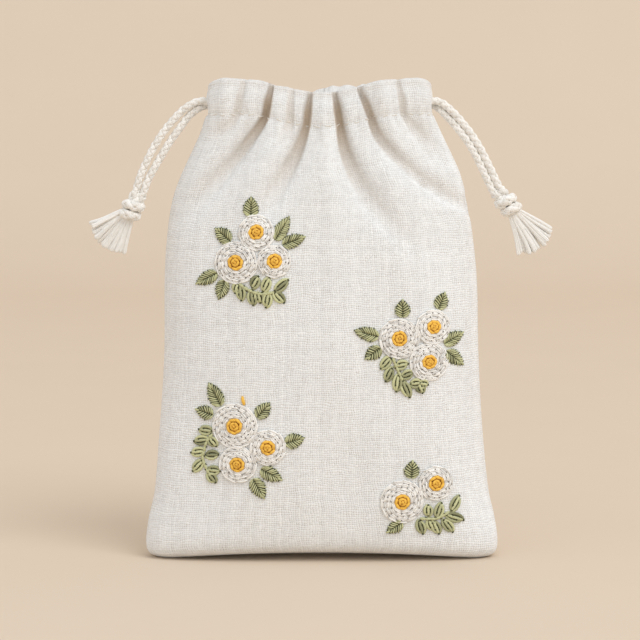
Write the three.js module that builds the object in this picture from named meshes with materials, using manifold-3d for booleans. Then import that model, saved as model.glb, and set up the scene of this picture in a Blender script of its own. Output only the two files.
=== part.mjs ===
// A gathered linen drawstring pouch with embroidered flowers, standing on its two bottom corners.
// Millimetres, +Z up, the embroidered front faces -Y. The origin is on the floor under the middle.
import * as THREE from "three";
import { mergeVertices } from "three/addons/utils/BufferGeometryUtils.js";
import Module from "manifold-3d";

const wasm = await Module();
wasm.setup();

// Driving dimensions
const CLOTH = 1.2; // thickness of the linen wall
const CORD = 3; // diameter of a drawstring
const CLEAR = 0.3; // gap kept between neighbouring pieces
const STITCH_Z = 165; // height of the stitches that close the casing
const TOP_Z = 180; // crest of the casing near its two ends
const RIM_DIP = 4.5; // how far the rim sinks at the middle
const RIM_DIP_HALF = 30; // half the width of that dip
const RIM_DIP_START = 120; // the dip fades out down to this height
const ARCH = 3.6; // how far the bottom edge lifts between the corners
const ARCH_HALF = 52; // the bottom lies flat on the floor beyond this distance from the middle
const ARCH_REACH = 26; // the lift fades out up to this height
const SEAM_HALF = 54; // half the length of the bottom seam
const MOUTH_HALF_WIDTH = 34.6; // open mouth inside the casing
const MOUTH_HALF_DEPTH = 5.2;
const MOUTH_FOLD = 0.3; // share of the gathers that the inner layer of the casing follows
const FOLD_WIDTH_NECK = 3.4; // half width of a gather at the casing
const FOLD_WIDTH_FOOT = 8; // half width of a gather where it fades out
const STATION_COUNT = 38; // columns of facets across the front, and as many across the back
const FLOOR_INSET = 1.9; // the inside starts this far in from the outside at the bottom
const FLOOR_LIFT = 0.7; // and this far above it
const INNER_SEAM_INSET = 2; // the bottom seam is this much shorter inside at each end

// Level sections of the outside of the cloth: height, half width, half depth and the
// exponent of the rounded outline, where 2 is an ellipse and more is squarer.
const SECTIONS = [
  { z: 0, width: 60.6, depth: 14.5, square: 3.6 },
  { z: 1.4, width: 63.2, depth: 16, square: 3.4 },
  { z: 5, width: 64.8, depth: 17, square: 3.1 },
  { z: 14, width: 64.5, depth: 18, square: 2.7 },
  { z: 25, width: 62.3, depth: 19.2, square: 2.4 },
  { z: 48, width: 60, depth: 21, square: 2.2 },
  { z: 76, width: 58.7, depth: 22, square: 2.1 },
  { z: 104, width: 57.9, depth: 21.5, square: 2.1 },
  { z: 122, width: 56.5, depth: 20.6, square: 2.1 },
  { z: 135, width: 54.7, depth: 19.5, square: 2.1 },
  { z: 144, width: 52.4, depth: 18.6, square: 2.15 },
  { z: 152, width: 49.2, depth: 17.6, square: 2.2 },
  { z: 161, width: 44.7, depth: 16.4, square: 2.7 },
  { z: 167, width: 42.4, depth: 15.6, square: 3.3 },
  { z: 173, width: 42.1, depth: 15.5, square: 3.4 },
  { z: 178, width: 41.4, depth: 15, square: 3.4 },
];

// Gathers: places are shares of the half width, at the casing and at the height where they fade out.
const FRONT_FOLDS = [
  { neck: -0.66, foot: -0.74, footZ: 150, depth: 1.6 },
  { neck: -0.42, foot: -0.7, footZ: 136, depth: 3.6 },
  { neck: -0.09, foot: -0.4, footZ: 128, depth: 3.6 },
  { neck: 0.16, foot: 0.4, footZ: 120, depth: 3.6 },
  { neck: 0.42, foot: 0.76, footZ: 132, depth: 3.7 },
  { neck: 0.69, foot: 0.82, footZ: 132, depth: 2.2 },
];
const BACK_FOLDS = [
  { neck: -0.72, foot: -0.84, footZ: 136, depth: 2 },
  { neck: -0.47, foot: -0.72, footZ: 128, depth: 3.4 },
  { neck: -0.2, foot: -0.42, footZ: 134, depth: 3.2 },
  { neck: 0.06, foot: 0.12, footZ: 122, depth: 3.6 },
  { neck: 0.33, foot: 0.52, footZ: 130, depth: 3.4 },
  { neck: 0.6, foot: 0.8, footZ: 134, depth: 3 },
];

// Heights of the facet rows of the cloth
const OUTER_ROWS = [0, 1.4, 5, 14, 28, 45, 64, 84, 104, 122, 136, 147, 156, 165, 170, 175];
const INNER_ROWS = [156, 146, 132, 106, 74, 42, 18, 6];

// Crest of the casing: shares of the way from the outer to the inner layer, and the drop below the top
const CREST = [
  { share: 0.03, drop: 2.5 },
  { share: 0.18, drop: 0.7 },
  { share: 0.5, drop: 0 },
  { share: 0.84, drop: 0.9 },
];
const CREST_FOOT_Z = TOP_Z - 2.5; // the two layers bend towards each other above this height
const LINING_TOP_Z = TOP_Z - 4; // top of the straight part of the inner layer
const LINING_FOOT_Z = STITCH_Z + 0.3; // its foot, just above the stitches
const HEM_Z = STITCH_Z - 2; // end of the cloth that is turned in
const TUNNEL_ROWS = [STITCH_Z + 1.4, 170, 175]; // tunnel for the cords, rows along the outer layer
const TUNNEL_SQUEEZE = 0.3; // the tunnel narrows by this much at its lowest row
const TUNNEL_TOP_Z = TOP_Z - 1.8;
const TUNNEL_TOP_SHARE = 0.45;
const TUNNEL_LINING_ROWS = [TOP_Z - 5, STITCH_Z + 1.7]; // rows along the inner layer

// Drawstrings: one leaves the casing on the left, the other on the right. Each tail lists the
// middle line of its two strands from the casing to the knot.
const DRAWSTRINGS = [
  {
    side: "left",
    sign: -1,
    exitZ: 169.6,
    farZ: 168.4,
    tail: [
      { x: -44.8, y: 0, z: 170.2 },
      { x: -49.4, y: -0.4, z: 169.8 },
      { x: -55.4, y: -0.9, z: 164.4 },
      { x: -60.6, y: -1.4, z: 155 },
      { x: -64.9, y: -1.8, z: 146.2 },
      { x: -68.2, y: -2.1, z: 139.2 },
      { x: -70.4, y: -2.2, z: 133.6 },
    ],
    knot: { x: -71.1, y: -2.3, z: 131.3, width: 9.4, length: 8 },
    tassel: { x: -74.2, y: -2.4, z: 128.2, middle: 228, spread: 36, length: 14.4 },
  },
  {
    side: "right",
    sign: 1,
    exitZ: 172,
    farZ: 173.2,
    tail: [
      { x: 44.6, y: 0, z: 170.6 },
      { x: 47.6, y: -0.3, z: 167.7 },
      { x: 52, y: -0.8, z: 163 },
      { x: 56.4, y: -1.3, z: 157 },
      { x: 60.4, y: -1.7, z: 150 },
      { x: 64.6, y: -2.1, z: 141.6 },
      { x: 68.6, y: -2.2, z: 134.8 },
    ],
    knot: { x: 70.1, y: -2.3, z: 132.7, width: 9.8, length: 9.4 },
    tassel: { x: 73, y: -2.4, z: 128.8, middle: 305, spread: 32, length: 15 },
  },
];
const LOOP_HALF_WIDTH = 38.7; // middle line of a drawstring inside the casing
const LOOP_HALF_DEPTH = 8.6;
const LOOP_SHARES = [1, 0.66, 0.33, 0, -0.33, -0.66, -1]; // places along its two long sides
const FAR_TURN = [-45, 0, 45]; // degrees of its bend at the far end
const EXIT_BEND = { out: 1.6, depth: 0.27 }; // past the loop at its exit, as shares of the half depth
const NEAR_BEND = { out: 6.2, depth: 0.72 }; // between the exit and the long sides
const TWIST_POINTS = 2; // tail points over which two strands turn from behind to beside each other
const CORD_SIDES = 8;
const CORD_STEP = 2.6 * CORD;
const SLOT_HALF_WIDTH = CORD + 2; // slot in the side seam where the two strands come out
const SLOT_HALF_HEIGHT = CORD / 2 + 1.4;
const SLOT_LENGTH = 8;
const SLOT_OUT = 3.6; // from the end of the loop to the middle of the slot

// Knot: a rounded body and a wrap round it, as shares of the knot's width and length
const KNOT_BODY = { width: 0.46, length: 0.5, depth: 0.44 };
const KNOT_WRAP = { radius: 0.33, cords: 0.56, slant: 0.5 };

// Tassel: three fans of tapered locks that are fused to a round head
const LOCK_FANS = [
  { lean: 0, count: 7, reach: 1 },
  { lean: 16, count: 4, reach: 0.94 },
  { lean: -16, count: 4, reach: 0.94 },
];
const LOCK_ROOT = 0.9; // radius of a lock at the head
const LOCK_TIP = 1.5; // radius at its brushed-out tip
const LOCK_SIDES = 5;
const HEAD = 1.9; // radius of the head

// Embroidered flowers: centre on the front, radius of the petals and of the yellow middle
const FLOWERS = [
  { group: "upper_left", x: -23.8, z: 124.8, petals: 6.2, middle: 2.7 },
  { group: "upper_left", x: -31.3, z: 113.7, petals: 6.9, middle: 2.9 },
  { group: "upper_left", x: -17.3, z: 114.4, petals: 5.7, middle: 2.8 },
  { group: "middle_right", x: 29.2, z: 85.5, petals: 7, middle: 3 },
  { group: "middle_right", x: 41.7, z: 89.5, petals: 5.8, middle: 2.6 },
  { group: "middle_right", x: 40.2, z: 76.6, petals: 6.6, middle: 2.7 },
  { group: "lower_left", x: -32, z: 52.8, petals: 7.8, middle: 3.2 },
  { group: "lower_left", x: -19.8, z: 45, petals: 6.3, middle: 3 },
  { group: "lower_left", x: -31, z: 38.4, petals: 6.3, middle: 3 },
  { group: "lower_right", x: 30.4, z: 24.2, petals: 7.7, middle: 3 },
  { group: "lower_right", x: 43, z: 30.9, petals: 6.2, middle: 3 },
];

// Embroidered leaves: foot on the front, length, width and direction in degrees from +X
const LEAVES = [
  { group: "upper_left", x: -26, z: 130.6, length: 7.2, width: 5, angle: 88 },
  { group: "upper_left", x: -16.9, z: 122.2, length: 10, width: 4.2, angle: 59 },
  { group: "upper_left", x: -14.2, z: 120.4, length: 9, width: 4.3, angle: 20 },
  { group: "upper_left", x: -33.5, z: 121.5, length: 7.2, width: 4.6, angle: 140 },
  { group: "upper_left", x: -38.5, z: 109.7, length: 9, width: 4.3, angle: -152 },
  { group: "upper_left", x: -35.6, z: 107, length: 7.4, width: 4.3, angle: -108 },
  { group: "middle_right", x: 30.5, z: 93.4, length: 6.4, width: 5, angle: 91 },
  { group: "middle_right", x: 43.8, z: 96, length: 6.4, width: 4.6, angle: 68 },
  { group: "middle_right", x: 21.5, z: 86.2, length: 9.4, width: 4.3, angle: 164 },
  { group: "middle_right", x: 22.2, z: 82, length: 7, width: 4.6, angle: -145 },
  { group: "middle_right", x: 46, z: 83, length: 8.4, width: 4.3, angle: 28 },
  { group: "middle_right", x: 46.8, z: 80.2, length: 8.6, width: 4.3, angle: -40 },
  { group: "lower_left", x: -37.2, z: 60.2, length: 9.7, width: 5, angle: 118 },
  { group: "lower_left", x: -40.2, z: 56.6, length: 6.7, width: 4.5, angle: 163 },
  { group: "lower_left", x: -23.7, z: 56.2, length: 7.2, width: 4.5, angle: 50 },
  { group: "lower_left", x: -13.3, z: 46.6, length: 7.2, width: 5, angle: 17 },
  { group: "lower_left", x: -22.4, z: 36.8, length: 9, width: 4.6, angle: -28 },
  { group: "lower_left", x: -25.4, z: 33, length: 8.8, width: 5, angle: -60 },
  { group: "lower_right", x: 33.8, z: 33, length: 6.6, width: 5, angle: 86 },
  { group: "lower_right", x: 26.9, z: 16.4, length: 5.2, width: 4, angle: -135 },
];
const PETAL_EDGE = 0.5; // thread height at the rim of a flower
const PETAL_CROWN = 1.4; // thread height over its petals
const PETAL_CROWN_SHARE = 0.35; // place of that crown from the middle to the rim
const PETAL_SIDES = 12;
const MIDDLE_EDGE = 1;
const MIDDLE_CROWN = 1.8; // thread height over its yellow middle
const MIDDLE_SIDES = 10;
const LEAF_EDGE = 0.4;
const LEAF_CROWN = 1;
const LEAF_SHARES = [0.2, 0.5, 0.8]; // corners of a leaf along its length
const LEAF_FULLNESS = 0.7; // less makes a leaf's sides rounder
const CUT_SIDES = 14; // outline that a flower cuts out of the leaves behind it
const CUT_HEIGHT = 3;

const FINISH = {
  linen: { color: 0xe6e0d6, roughness: 0.95 },
  cotton: { color: 0xede6da, roughness: 0.9 },
  petals: { color: 0xf2eee7, roughness: 0.8 },
  middle: { color: 0xe9a531, roughness: 0.75 },
  leaf: { color: 0x8d9660, roughness: 0.8 },
};

// Small helpers
const lerp = THREE.MathUtils.lerp;
const smooth = (share) => THREE.MathUtils.smoothstep(share, 0, 1);
const bump = (share) => (Math.abs(share) < 1 ? Math.cos((share * Math.PI) / 2) ** 2 : 0);

// Value of one table column at a height, on a smooth curve through the rows
function columnAt(rows, column, z) {
  const last = rows.length - 2;
  let i = 0;
  while (i < last && z > rows[i + 1].z) {
    i += 1;
  }
  const slope = (k) => {
    const before = rows[Math.max(k - 1, 0)];
    const after = rows[Math.min(k + 1, rows.length - 1)];
    return (after[column] - before[column]) / (after.z - before.z);
  };
  const span = rows[i + 1].z - rows[i].z;
  const t = THREE.MathUtils.clamp((z - rows[i].z) / span, 0, 1);
  const u = 1 - t;
  return (
    rows[i][column] * u * u * (1 + 2 * t) +
    rows[i + 1][column] * t * t * (3 - 2 * t) +
    slope(i) * span * t * u * u -
    slope(i + 1) * span * t * t * u
  );
}

// Turns a closed geometry into a solid that can be joined and cut
function toSolid(geometry) {
  const bare = geometry.clone();
  bare.deleteAttribute("normal");
  bare.deleteAttribute("uv");
  const merged = mergeVertices(bare, 1e-3);
  const vertProperties = new Float32Array(merged.attributes.position.array);
  const triVerts = new Uint32Array(merged.index.array);
  return new wasm.Manifold(new wasm.Mesh({ numProp: 3, vertProperties, triVerts }));
}

function toMesh(name, solid, finish) {
  const { vertProperties, triVerts } = solid.getMesh();
  const geometry = new THREE.BufferGeometry();
  geometry.setAttribute("position", new THREE.BufferAttribute(vertProperties, 3));
  geometry.setIndex(new THREE.BufferAttribute(triVerts, 1));
  geometry.computeVertexNormals();
  const mesh = new THREE.Mesh(geometry, new THREE.MeshStandardMaterial({ ...finish, metalness: 0 }));
  mesh.name = name;
  return mesh;
}

// Skin over rings of equally many points. A ring closes on itself; the stack of rings closes
// on itself too when looped is true. Otherwise the first and last rings fold flat onto themselves.
function skin(rings, looped) {
  const count = rings[0].length;
  const positions = rings.flat().flatMap((point) => point.toArray());
  const index = [];
  const bands = looped ? rings.length : rings.length - 1;
  for (let i = 0; i < bands; i += 1) {
    const j = (i + 1) % rings.length;
    for (let k = 0; k < count; k += 1) {
      const next = (k + 1) % count;
      const [a, b] = [i * count + k, i * count + next];
      const [c, d] = [j * count + next, j * count + k];
      index.push(a, b, c, a, c, d);
    }
  }
  const geometry = new THREE.BufferGeometry();
  geometry.setAttribute("position", new THREE.Float32BufferAttribute(positions, 3));
  geometry.setIndex(index);
  return geometry;
}

// The cloth: columns run along the front from left to right, then along the back. Near a
// gather the closest column moves onto it, so that its valley is sharp.
function stations() {
  const list = [];
  for (const [side, folds] of [[-1, FRONT_FOLDS], [1, BACK_FOLDS]]) {
    const first = side < 0 ? 0 : 1;
    const last = side < 0 ? STATION_COUNT : STATION_COUNT - 1;
    const row = [];
    for (let k = first; k <= last; k += 1) {
      const share = k / STATION_COUNT;
      row.push({ side, seam: -side * (2 * share - 1), xi: -side * Math.sin((share - 0.5) * Math.PI) });
    }
    for (const fold of folds) {
      const distance = (station) => Math.abs(station.xi - fold.neck);
      row.reduce((best, station) => (distance(station) < distance(best) ? station : best)).xi = fold.neck;
    }
    list.push(...row);
  }
  return list;
}
const STATIONS = stations();

// How far the gathers of one side sink at a share of the half width and a height
function foldDepth(side, xi, z) {
  let sink = 0;
  for (const fold of side < 0 ? FRONT_FOLDS : BACK_FOLDS) {
    const rise = THREE.MathUtils.clamp((z - fold.footZ) / (STITCH_Z - fold.footZ), 0, 1);
    const width = lerp(FOLD_WIDTH_FOOT, FOLD_WIDTH_NECK, rise);
    const off = ((xi - lerp(fold.foot, fold.neck, rise)) * columnAt(SECTIONS, "width", z)) / width;
    sink += fold.depth * smooth(rise) * Math.exp(-off * off);
  }
  return sink;
}

// The bottom edge arches up and the rim dips between the two sides
function lift(x, z) {
  const arch = ARCH * Math.max(0, 1 - (x / ARCH_HALF) ** 2) * Math.max(0, 1 - z / ARCH_REACH) ** 2;
  const rise = THREE.MathUtils.clamp((z - RIM_DIP_START) / (STITCH_Z - RIM_DIP_START), 0, 1);
  return arch - RIM_DIP * bump(x / RIM_DIP_HALF) * smooth(rise);
}

// Distance from the middle plane to the outside of the cloth, without its gathers
function plainDepth(xi, z) {
  const square = columnAt(SECTIONS, "square", z);
  const round = Math.max(0, 1 - Math.abs(xi) ** square) ** (1 / square);
  return columnAt(SECTIONS, "depth", z) * round;
}

function wallPoint({ side, xi }, z) {
  const width = columnAt(SECTIONS, "width", z);
  const depth = columnAt(SECTIONS, "depth", z);
  const power = columnAt(SECTIONS, "square", z) - 1;
  const x = xi * width;
  const y = side * plainDepth(xi, z);
  const outward = new THREE.Vector3(
    (Math.sign(x) * Math.abs(xi) ** power) / width,
    (Math.sign(y) * Math.abs(y / depth) ** power) / depth,
    0
  ).normalize();
  const point = new THREE.Vector3(x, y, z + lift(x, z));
  return point.addScaledVector(outward, -foldDepth(side, xi, z));
}

const wallRing = (z) => STATIONS.map((station) => wallPoint(station, z));

// The mouth inside the casing is a slot with round ends; inset is added to it all round
function mouthRing(z, inset) {
  const width = MOUTH_HALF_WIDTH + inset;
  const depth = MOUTH_HALF_DEPTH + inset;
  return STATIONS.map(({ side, xi }) => {
    const x = xi * width;
    const past = Math.max(0, Math.abs(x) - (width - depth));
    const round = Math.sqrt(Math.max(0, depth * depth - past * past));
    const sink = (MOUTH_FOLD * foldDepth(side, xi, z) * round) / depth;
    return new THREE.Vector3(x, side * (round - sink), z + lift(x, z));
  });
}

// The bottom seam: front and back meet on one line
const seamRing = (z, half) =>
  STATIONS.map(({ seam }) => new THREE.Vector3(seam * half, 0, z + lift(seam * half, z)));

// A ring moved towards the inside of the pouch, square to its own outline
function inside(ring, distance) {
  return ring.map((point, k) => {
    const before = ring[(k + ring.length - 1) % ring.length];
    const after = ring[(k + 1) % ring.length];
    const along = after.clone().sub(before);
    const inward = new THREE.Vector3(-along.y, along.x, 0).normalize();
    return point.clone().addScaledVector(inward, distance);
  });
}

// A ring part of the way from the outer to the inner layer of the casing
function between(outer, inner, share, z) {
  return outer.map((point, k) => {
    const middle = point.clone().lerp(inner[k], share);
    middle.z = z + lift(middle.x, z);
    return middle;
  });
}

// Outline of the cloth from the bottom seam up the outside, over the rim and down the inside
function clothRings() {
  const rimOuter = wallRing(CREST_FOOT_Z);
  const rimInner = mouthRing(CREST_FOOT_Z, 0);
  const floorRing = inside(wallRing(OUTER_ROWS[1]), FLOOR_INSET);
  return [
    seamRing(0, SEAM_HALF),
    ...OUTER_ROWS.map(wallRing),
    ...CREST.map(({ share, drop }) => between(rimOuter, rimInner, share, TOP_Z - drop)),
    mouthRing(LINING_TOP_Z, 0),
    mouthRing(LINING_FOOT_Z, 0),
    inside(wallRing(HEM_Z), 2 * CLOTH),
    ...INNER_ROWS.map((z) => inside(wallRing(z), CLOTH)),
    floorRing.map((point) => point.clone().setZ(point.z + FLOOR_LIFT)),
    seamRing(CLOTH, SEAM_HALF - INNER_SEAM_INSET),
  ];
}

// Tunnel between the two layers of the casing, where the drawstrings run
function tunnelRings() {
  const topOuter = inside(wallRing(LINING_TOP_Z), CLOTH);
  const topInner = mouthRing(LINING_TOP_Z, CLOTH);
  return [
    ...TUNNEL_ROWS.map((z, i) => inside(wallRing(z), i === 0 ? CLOTH + TUNNEL_SQUEEZE : CLOTH)),
    between(topOuter, topInner, TUNNEL_TOP_SHARE, TUNNEL_TOP_Z),
    ...TUNNEL_LINING_ROWS.map((z) => mouthRing(z, CLOTH)),
  ];
}

// Slot in the side seam where a drawstring comes out of the casing
function exitSlot({ sign, exitZ }) {
  const tool = new THREE.CylinderGeometry(1, 1, SLOT_LENGTH, 12);
  tool.rotateZ(Math.PI / 2);
  tool.scale(1, SLOT_HALF_WIDTH, SLOT_HALF_HEIGHT);
  tool.translate(sign * (LOOP_HALF_WIDTH + SLOT_OUT), 0, exitZ);
  return toSolid(tool);
}

function pouchBody() {
  let solid = toSolid(skin(clothRings(), false)).subtract(toSolid(skin(tunnelRings(), true)));
  for (const spec of DRAWSTRINGS) {
    solid = solid.subtract(exitSlot(spec));
  }
  return toMesh("pouch_body", solid, FINISH.linen);
}

// Route of one drawstring: up the front strand of the tail, round the casing, down the back strand
function drawstringRoute({ sign, exitZ, farZ, tail }) {
  const apart = (CORD + CLEAR) / 2;
  const strand = (front) =>
    tail.map((place, i) => {
      const ahead = tail[Math.min(i + 1, tail.length - 1)];
      const behind = tail[Math.max(i - 1, 0)];
      const across = new THREE.Vector3(behind.z - ahead.z, 0, ahead.x - behind.x).normalize();
      const turn = (Math.PI / 2) * smooth(i / TWIST_POINTS);
      const aside = new THREE.Vector3(0, -Math.cos(turn), 0).addScaledVector(across, sign * Math.sin(turn));
      return new THREE.Vector3(place.x, place.y, place.z).addScaledVector(aside, front * apart);
    });
  const bend = LOOP_HALF_WIDTH - LOOP_HALF_DEPTH;
  const inCasing = (x, y) => {
    const share = (LOOP_HALF_WIDTH - sign * x) / (2 * LOOP_HALF_WIDTH);
    return new THREE.Vector3(x, y, lerp(exitZ, farZ, share) + lift(x, STITCH_Z));
  };
  const half = (y) => [
    inCasing(sign * (LOOP_HALF_WIDTH + EXIT_BEND.out), y * EXIT_BEND.depth),
    inCasing(sign * (bend + NEAR_BEND.out), y * NEAR_BEND.depth),
    ...LOOP_SHARES.map((share) => inCasing(sign * bend * share, y)),
  ];
  const farTurn = FAR_TURN.map((degrees) => {
    const angle = THREE.MathUtils.degToRad(degrees);
    const reach = bend + LOOP_HALF_DEPTH * Math.cos(angle);
    return inCasing(-sign * reach, LOOP_HALF_DEPTH * Math.sin(angle));
  });
  return [
    ...strand(1).reverse(),
    ...half(-LOOP_HALF_DEPTH),
    ...farTurn,
    ...half(LOOP_HALF_DEPTH).reverse(),
    ...strand(-1),
  ];
}

function drawstring(spec) {
  const route = new THREE.CatmullRomCurve3(drawstringRoute(spec), false, "centripetal");
  const corners = circle(0, 0, CORD / 2, CORD_SIDES).map(([x, y]) => new THREE.Vector2(x, y));
  const section = new THREE.Shape(corners);
  const steps = Math.round(route.getLength() / CORD_STEP);
  const tube = new THREE.ExtrudeGeometry(section, { steps, bevelEnabled: false, extrudePath: route });
  return toMesh(`drawstring_${spec.side}`, toSolid(tube).subtract(knotSolid(spec, CLEAR)), FINISH.cotton);
}

// Overhand knot: a rounded body with one turn of the doubled cord wrapped round it on a slant
function knotSolid({ sign, tail, knot: size, tassel: below }, grow) {
  const end = tail[tail.length - 1];
  const down = new THREE.Vector3(below.x - end.x, below.y - end.y, below.z - end.z).normalize();
  const body = new THREE.SphereGeometry(1, 12, 7);
  body.scale(
    size.width * KNOT_BODY.width + grow,
    size.length * KNOT_BODY.length + grow,
    size.width * KNOT_BODY.depth + grow
  );
  const wrap = new THREE.TorusGeometry(size.width * KNOT_WRAP.radius, CORD * KNOT_WRAP.cords + grow, 7, 12);
  wrap.rotateX(Math.PI / 2);
  wrap.rotateZ(sign * KNOT_WRAP.slant);
  const place = new THREE.Matrix4().compose(
    new THREE.Vector3(size.x, size.y, size.z),
    new THREE.Quaternion().setFromUnitVectors(new THREE.Vector3(0, -1, 0), down),
    new THREE.Vector3(1, 1, 1)
  );
  return toSolid(body.applyMatrix4(place)).add(toSolid(wrap.applyMatrix4(place)));
}

const knot = (spec) => toMesh(`knot_${spec.side}`, knotSolid(spec, 0), FINISH.cotton);

// Frayed end under the knot
function tassel(whole) {
  const spec = whole.tassel;
  const root = new THREE.Vector3(spec.x, spec.y, spec.z);
  const head = new THREE.SphereGeometry(HEAD, 8, 6);
  head.translate(root.x, root.y, root.z);
  let solid = toSolid(head);
  for (const { lean, count, reach } of LOCK_FANS) {
    for (let k = 0; k < count; k += 1) {
      const angle = THREE.MathUtils.degToRad(spec.middle + spec.spread * ((2 * k) / (count - 1) - 1));
      const tilt = THREE.MathUtils.degToRad(lean);
      const along = new THREE.Vector3(
        Math.cos(angle) * Math.cos(tilt),
        Math.sin(tilt),
        Math.sin(angle) * Math.cos(tilt)
      );
      const length = spec.length * reach;
      const lock = new THREE.CylinderGeometry(LOCK_TIP, LOCK_ROOT, length, LOCK_SIDES);
      lock.translate(0, length / 2, 0);
      lock.applyQuaternion(new THREE.Quaternion().setFromUnitVectors(new THREE.Vector3(0, 1, 0), along));
      lock.translate(root.x, root.y, root.z);
      solid = solid.add(toSolid(lock));
    }
  }
  return toMesh(`tassel_${whole.side}`, solid.subtract(knotSolid(whole, CLEAR)), FINISH.cotton);
}

// A point of thread work at a height above the front of the cloth
function onFront(x, z, height) {
  const xi = x / columnAt(SECTIONS, "width", z);
  const cloth = plainDepth(xi, z) - foldDepth(-1, xi, z);
  return new THREE.Vector3(x, -cloth - CLEAR - height, z);
}

const circle = (x, z, radius, count) =>
  Array.from({ length: count }, (_, k) => {
    const angle = (k / count) * 2 * Math.PI;
    return [x + radius * Math.cos(angle), z + radius * Math.sin(angle)];
  });

// A domed pad inside an outline that runs anticlockwise as seen from the front
function pad(outline, [x, z], edge, crown) {
  const ring = (height) => outline.map(([px, pz]) => onFront(px, pz, height));
  const flat = (height) => outline.map(() => onFront(x, z, height));
  return toSolid(skin([flat(0), ring(0), ring(edge), flat(crown)], false));
}

// Petals: a raised ring round the yellow middle
function petals({ x, z, petals: radius, middle }, name) {
  const ring = (r, height) => circle(x, z, r, PETAL_SIDES).map(([px, pz]) => onFront(px, pz, height));
  const inner = middle + CLEAR;
  const crown = lerp(inner, radius, PETAL_CROWN_SHARE);
  const rings = [ring(inner, 0), ring(radius, 0), ring(radius, PETAL_EDGE), ring(crown, PETAL_CROWN)];
  return toMesh(name, toSolid(skin(rings, true)), FINISH.petals);
}

function flowerMiddle({ x, z, middle }, name) {
  const outline = circle(x, z, middle, MIDDLE_SIDES);
  return toMesh(name, pad(outline, [x, z], MIDDLE_EDGE, MIDDLE_CROWN), FINISH.middle);
}

// A pointed leaf, cut back where it would run under a flower of its group
function leaf({ group, x, z, length, width, angle }, name) {
  const turn = THREE.MathUtils.degToRad(angle);
  const place = (along, across) => [
    x + along * length * Math.cos(turn) - across * width * Math.sin(turn),
    z + along * length * Math.sin(turn) + across * width * Math.cos(turn),
  ];
  const swell = (share) => 0.5 * Math.sin(Math.PI * share) ** LEAF_FULLNESS;
  const outline = [
    place(0, 0),
    ...LEAF_SHARES.map((share) => place(share, -swell(share))),
    place(1, 0),
    ...LEAF_SHARES.toReversed().map((share) => place(share, swell(share))),
  ];
  let solid = pad(outline, place(0.5, 0), LEAF_EDGE, LEAF_CROWN);
  for (const flower of FLOWERS.filter((other) => other.group === group)) {
    const reach = circle(flower.x, flower.z, flower.petals + 2 * CLEAR, CUT_SIDES);
    const cut = pad(reach, [flower.x, flower.z], CUT_HEIGHT, CUT_HEIGHT);
    solid = solid.subtract(cut.translate(0, CLEAR, 0));
  }
  return toMesh(name, solid, FINISH.leaf);
}

const pouch = new THREE.Group();
pouch.add(pouchBody());
for (const spec of DRAWSTRINGS) {
  pouch.add(drawstring(spec), knot(spec), tassel(spec));
}
FLOWERS.forEach((flower, i) => {
  pouch.add(petals(flower, `petals_${i + 1}`), flowerMiddle(flower, `centre_${i + 1}`));
});
LEAVES.forEach((spec, i) => pouch.add(leaf(spec, `leaf_${i + 1}`)));

export default pouch;
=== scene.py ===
# %% [markdown]
# # A gathered linen pouch
# This lesson dresses the solid model of a small drawstring pouch: undyed linen with a cord casing,
# two cotton drawstrings with knots and tassels, and four groups of embroidered flowers. The solid
# model fixes the frame: metres, +Z up, the front faces -Y, and the origin is on the floor under the
# middle. Cloth and thread are easier to think of in millimetres, so every size below is in
# millimetres and becomes metres only when a mesh is made.

# %% The frame
import math

import bmesh
import bpy
import numpy as np
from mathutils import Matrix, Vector


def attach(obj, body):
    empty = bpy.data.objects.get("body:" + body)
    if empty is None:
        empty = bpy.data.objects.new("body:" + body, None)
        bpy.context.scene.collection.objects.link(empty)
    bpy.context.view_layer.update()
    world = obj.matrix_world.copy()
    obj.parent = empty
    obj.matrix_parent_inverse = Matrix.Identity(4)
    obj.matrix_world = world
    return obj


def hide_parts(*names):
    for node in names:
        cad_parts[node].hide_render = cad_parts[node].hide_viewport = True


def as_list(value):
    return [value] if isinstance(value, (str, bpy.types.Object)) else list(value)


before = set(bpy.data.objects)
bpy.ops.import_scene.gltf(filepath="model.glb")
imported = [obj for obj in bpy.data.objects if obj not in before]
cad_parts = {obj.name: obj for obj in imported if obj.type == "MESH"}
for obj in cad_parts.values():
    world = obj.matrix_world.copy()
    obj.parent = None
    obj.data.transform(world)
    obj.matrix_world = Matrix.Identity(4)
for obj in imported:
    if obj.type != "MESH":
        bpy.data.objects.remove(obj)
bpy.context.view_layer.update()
scene = bpy.context.scene
MM = 0.001
print("solid parts:", len(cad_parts))

# %% [markdown]
# ## The camera
# The pouch is seen from in front and slightly above, from far enough away that its sides run
# parallel. A long lens a metre away gives that view. With the camera set first, every later choice
# can be looked at from the right place.

# %% The camera
VIEW_DISTANCE, VIEW_LENS, SENSOR_WIDTH = 1.0, 149.5, 36
VIEW_ELEVATION = math.radians(6)
aim = Vector((-0.0004, 0.0, 0.0897))
camera = bpy.data.objects.new("camera", bpy.data.cameras.new("camera"))
camera.data.lens = VIEW_LENS
camera.data.sensor_width = SENSOR_WIDTH
away = Vector((0, -math.cos(VIEW_ELEVATION), math.sin(VIEW_ELEVATION)))
camera.location = aim + VIEW_DISTANCE * away
camera.rotation_euler = away.to_track_quat("Z", "Y").to_euler()
scene.collection.objects.link(camera)
scene.camera = camera
print("camera at", [round(value, 3) for value in camera.location])

# %% [markdown]
# ## Lines and curves
# Cloth and cord don't stretch, so their points have to be evenly spaced along every fold and bend.
# These helpers measure a line, space it evenly and draw a smooth curve through a few values.


# %% Helpers for lines
FINE_POINTS = 60  # for each place that a smooth line runs through


def smooth(share):
    """3t^2 - 2t^3 of a share that is held between 0 and 1."""
    share = np.clip(share, 0, 1)
    return share * share * (3 - 2 * share)


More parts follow.
